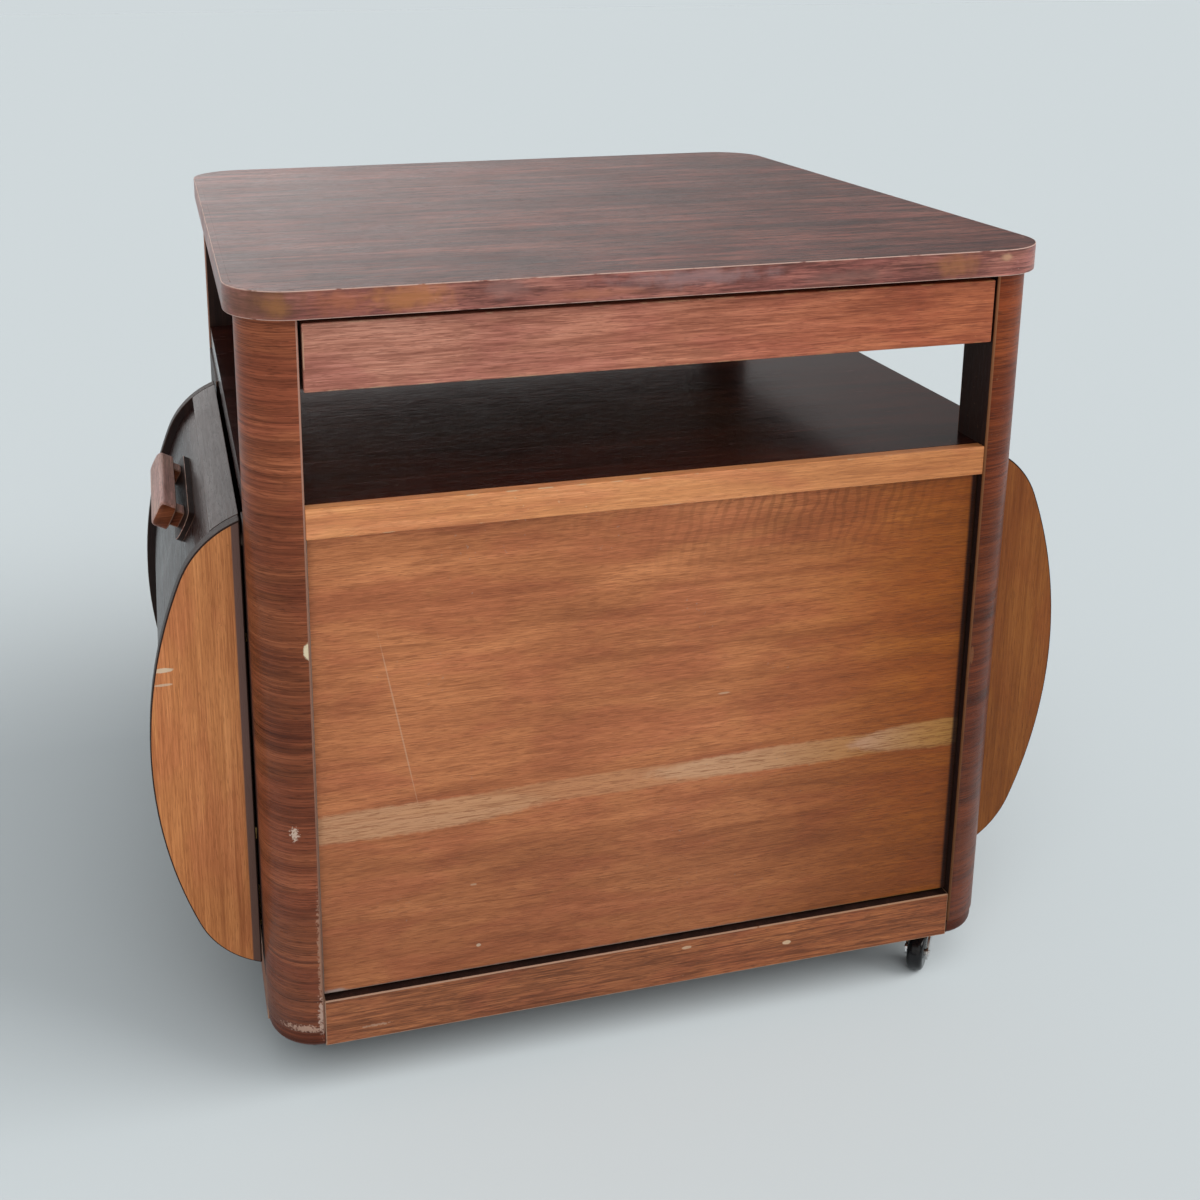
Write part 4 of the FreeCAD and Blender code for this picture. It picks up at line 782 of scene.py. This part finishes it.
def ease_arrises(node, width):
    """Rounds the arrises of a copy of a node and marks them for wear, and on the cheeks for a
    painted dark rim; the copy replaces it.
    """
    slot = SLOT_OF[node]
    piece = bpy.data.objects.new(node + "_eased", clean_copy(node))
    bpy.context.scene.collection.objects.link(piece)
    piece.data.materials.clear()
    piece.data.materials.append(FINISHES[slot])
    piece.data.materials.append(FINISHES[slot])
    bevel = piece.modifiers.new("ease", "BEVEL")
    bevel.width = width
    bevel.segments = EASE_STEPS
    bevel.limit_method = "WEIGHT"
    bevel.material = ARRIS_SLOT
    piece.data.shade_smooth()
    piece.modifiers.new("even shading", "WEIGHTED_NORMAL")
    mesh = settle(piece)
    arris = mesh.attributes.new("arris", "FLOAT", "FACE")
    worn = [float(face.material_index == ARRIS_SLOT) for face in mesh.polygons]
    arris.data.foreach_set("value", worn)
    middle = sum(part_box(node), Vector()) / 2
    # faces in shade get their painted-shade finish here
    looks = [slot if face.material_index == ARRIS_SLOT and not node.endswith("handle_bar")
             else finish_or_painted_shade_of(node, middle, face.normal) for face in mesh.polygons]
    shown = sorted(set(looks))
    mesh.materials.clear()
    for look in shown:
        mesh.materials.append(FINISHES[look])
    mesh.polygons.foreach_set("material_index", [shown.index(look) for look in looks])
    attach(piece, BODY_OF[node])
    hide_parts(node)


def dress_nodes():
    """Eases what has visible arrises, and lays a finish on the other nodes as they are."""
    for node, slot in SLOT_OF.items():
        if slot in EASE:
            width = BAR_EASE if node.endswith("handle_bar") else EASE[slot]
            ease_arrises(node, width * MM)
        else:
            NODES[node].data.materials.clear()
            NODES[node].data.materials.append(FINISHES[slot])


def solids(node):
    """The boxes of the separate solids of a node."""
    shape = bmesh.new()
    shape.from_mesh(NODES[node].data)
    bmesh.ops.remove_doubles(shape, verts=shape.verts, dist=WELD)
    left = set(shape.verts)
    boxes = []
    while left:
        front = [left.pop()]
        places = []
        while front:
            corner = front.pop()
            places.append(corner.co.copy())
            near = {edge.other_vert(corner) for edge in corner.link_edges} & left
            left -= near
            front.extend(near)
        boxes.append([Vector(pick(place[axis] for place in places) for axis in range(len(AXES)))
                      for pick in (min, max)])
    shape.free()
    return boxes


def screw_places():
    """Where the screws of the fittings sit and which way they face, by body and finish."""
    places = {}
    for node in ("left_hinge_fixed", "right_hinge_fixed",
                 "left_flap_hinge_leaf", "right_flap_hinge_leaf"):
        for low, high in solids(node):
            side = math.copysign(1.0, low.x)
            inner, outer = sorted((abs(low.x), abs(high.x)))
            for share in LEAF_SCREWS:
                y = low.y + share * (high.y - low.y)
                if node.endswith("fixed"):
                    place = (side * (inner + LEAF_SCREW_INSET), y, low.z + LEAF_THICKNESS)
                    way = (0, 0, 1)
                else:
                    place = (side * (outer - LEAF_THICKNESS), y, high.z - LEAF_SCREW_INSET)
                    way = (-side, 0, 0)
                spot = (Vector(place), Vector(way))
                places.setdefault((BODY_OF[node], "brass"), []).append(spot)
    for low, high in solids("castor_plates"):
        for x in (low.x + PLATE_SCREW_INSET, high.x - PLATE_SCREW_INSET):
            for y in (low.y + PLATE_SCREW_INSET, high.y - PLATE_SCREW_INSET):
                spot = (Vector((x, y, high.z - PLATE_THICKNESS)), Vector((0, 0, -1)))
                places.setdefault((BODY_OF["castor_plates"], "castor_steel"), []).append(spot)
    return places


def screw_maker(slot):
    """A node group that sets a slotted screw head on each point, turned by its attribute."""
    tree = bpy.data.node_groups.new("screws " + slot, "GeometryNodeTree")
    tree.interface.new_socket("Places", in_out="INPUT", socket_type="NodeSocketGeometry")
    radius = tree.interface.new_socket("Head radius", in_out="INPUT", socket_type="NodeSocketFloat")
    tree.interface.new_socket("Screws", in_out="OUTPUT", socket_type="NodeSocketGeometry")
    node = partial(add_node, tree)
    given = node("NodeGroupInput").outputs
    height = HEAD_HEIGHT + HEAD_SINK
    head = node("GeometryNodeMeshCone", [("Radius Bottom", given["Head radius"])],
                [("Vertices", HEAD_SIDES), ("Radius Top", HEAD_CROWN), ("Depth", height)])
    bar = node("GeometryNodeMeshCube", values=[("Size", SLOT_CUT)])
    raised = node("GeometryNodeTransform", [("Geometry", bar.outputs["Mesh"])],
                  [("Translation", (0.0, 0.0, height))])
    slotted = node("GeometryNodeMeshBoolean", [
        ("Mesh 1", head.outputs["Mesh"]), ("Mesh 2", raised.outputs["Geometry"])],
        operation="DIFFERENCE")
    turn = node("GeometryNodeInputNamedAttribute", values=[("Name", "turn")],
                data_type="QUATERNION")
    spread = node("GeometryNodeInstanceOnPoints", [
        ("Points", given["Places"]), ("Instance", slotted.outputs["Mesh"]),
        ("Rotation", turn.outputs["Attribute"])])
    real = node("GeometryNodeRealizeInstances", [("Geometry", spread.outputs["Instances"])])
    shown = node("GeometryNodeSetMaterial", [("Geometry", real.outputs["Geometry"])],
                 [("Material", FINISHES[slot])])
    node("NodeGroupOutput", [("Screws", shown.outputs["Geometry"])])
    return tree, radius.identifier


def drive_screws():
    """Sets the screws of each body as one plain mesh."""
    for (body, slot), spots in screw_places().items():
        mesh = bpy.data.meshes.new(f"{body}_{slot}_screws")
        mesh.from_pydata([place - way * HEAD_SINK for place, way in spots], [], [])
        turn = mesh.attributes.new("turn", "QUATERNION", "POINT")
        for index, (place, way) in enumerate(spots):
            spin = Matrix.Rotation(index * SLOT_SPIN, 3, "Z").to_quaternion()
            turn.data[index].value = way.to_track_quat("Z", "Y") @ spin
        piece = bpy.data.objects.new(mesh.name, mesh)
        bpy.context.scene.collection.objects.link(piece)
        tree, radius = screw_maker(slot)
        setter = piece.modifiers.new("screws", "NODES")
        setter.node_group = tree
        setter[radius] = HEAD_RADIUS
        settle(piece)
        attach(piece, body)


def floor_tone():
    """The tone that leaves unshaded floor exactly as light as the backdrop."""
    light = [SKY_STRENGTH * tint for tint in SKY_TONE]
    for lamp in SUNS.values():
        fall = lamp["power"] * Vector(lamp["way"]).normalized().z / math.pi
        light = [lit + fall * tint for lit, tint in zip(light, lamp["tone"])]
    return [wanted / lit for wanted, lit in zip(PALE_GREY, light)]


def lay_floor():
    """A wide pale floor that meets the backdrop without a line."""
    finish = Finish("studio floor")
    finish.set(Base_Color=floor_tone(), Roughness=FLOOR_ROUGHNESS, Specular_IOR_Level=0.0)
    corners = [(-1, -1), (1, -1), (1, 1), (-1, 1)]
    mesh = bpy.data.meshes.new("floor")
    places = [(x * FLOOR_HALF, y * FLOOR_HALF, 0) for x, y in corners]
    mesh.from_pydata(places, [], [range(len(corners))])
    mesh.materials.append(finish.material)
    floor = bpy.data.objects.new("floor", mesh)
    bpy.context.scene.collection.objects.link(floor)
    alone = bpy.data.collections.new("floor alone")
    alone.objects.link(floor)
    return alone


def light_studio(floor_alone):
    """Even sky, a window for reflections, the backdrop for the view, and the lamps."""
    world = bpy.data.worlds.new("studio")
    bpy.context.scene.world = world
    world.use_nodes = True
    tree = world.node_tree
    node = partial(add_node, tree)
    sky = tree.nodes["Background"]
    sky.inputs["Color"].default_value = SKY_TONE + OPAQUE
    sky.inputs["Strength"].default_value = SKY_STRENGTH
    way = node("ShaderNodeTexCoord").outputs["Generated"]
    facing = node("ShaderNodeVectorMath", [(0, way)], [(1, WINDOW_WAY)], operation="DOT_PRODUCT")
    ahead = node("ShaderNodeMath", [(0, facing.outputs["Value"])], [(1, 0.0)], operation="MAXIMUM")
    falling = node("ShaderNodeMath", [(0, ahead.outputs["Value"])], [(1, WINDOW_FALL)],
                   operation="POWER")
    glow = node("ShaderNodeMath", [(0, falling.outputs["Value"])],
                [(1, WINDOW_BRIGHT), (2, ROOM_DIM)], operation="MULTIPLY_ADD")
    room = node("ShaderNodeBackground", [("Strength", glow.outputs["Value"])],
                [("Color", ROOM_TONE + OPAQUE)])
    plain = node("ShaderNodeBackground", values=[("Color", PALE_GREY + OPAQUE)])
    path = node("ShaderNodeLightPath").outputs
    lit = node("ShaderNodeMixShader", [
        (0, path["Is Glossy Ray"]), (1, sky.outputs[0]), (2, room.outputs[0])])
    seen = node("ShaderNodeMixShader", [
        (0, path["Is Camera Ray"]), (1, lit.outputs[0]), (2, plain.outputs[0])])
    tree.links.new(seen.outputs[0], tree.nodes["World Output"].inputs["Surface"])
    for name, lamp in SUNS.items():
        sun = bpy.data.lights.new(name, "SUN")
        sun.angle = math.radians(lamp["spread"])
        sun.energy = lamp["power"]
        sun.color = lamp["tone"]
        holder = bpy.data.objects.new(name, sun)
        holder.rotation_mode = "QUATERNION"
        holder.rotation_quaternion = (-Vector(lamp["way"])).to_track_quat("-Z", "Y")
        if name.startswith("floor"):
            holder.light_linking.receiver_collection = floor_alone
        bpy.context.scene.collection.objects.link(holder)


def set_camera():
    """The view of the photo, without any filmic tone curve."""
    lens = bpy.data.cameras.new("view")
    lens.sensor_width = CAMERA_SENSOR
    lens.lens = CAMERA_LENS
    lens.shift_x, lens.shift_y = CAMERA_SHIFT
    forward = Vector((math.sin(CAMERA_HEADING) * math.cos(CAMERA_DIP),
                      math.cos(CAMERA_HEADING) * math.cos(CAMERA_DIP), -math.sin(CAMERA_DIP)))
    turn = forward.to_track_quat("-Z", "Y").to_matrix() @ Matrix.Rotation(CAMERA_ROLL, 3, "Z")
    camera = bpy.data.objects.new("view", lens)
    camera.matrix_world = Matrix.LocRotScale(Vector(CAMERA_PLACE), turn, None)
    bpy.context.scene.collection.objects.link(camera)
    bpy.context.scene.camera = camera
    bpy.context.scene.view_settings.view_transform = "Standard"


set_camera()
light_studio(lay_floor())
dress_nodes()
drive_screws()

bpy.context.view_layer.update()
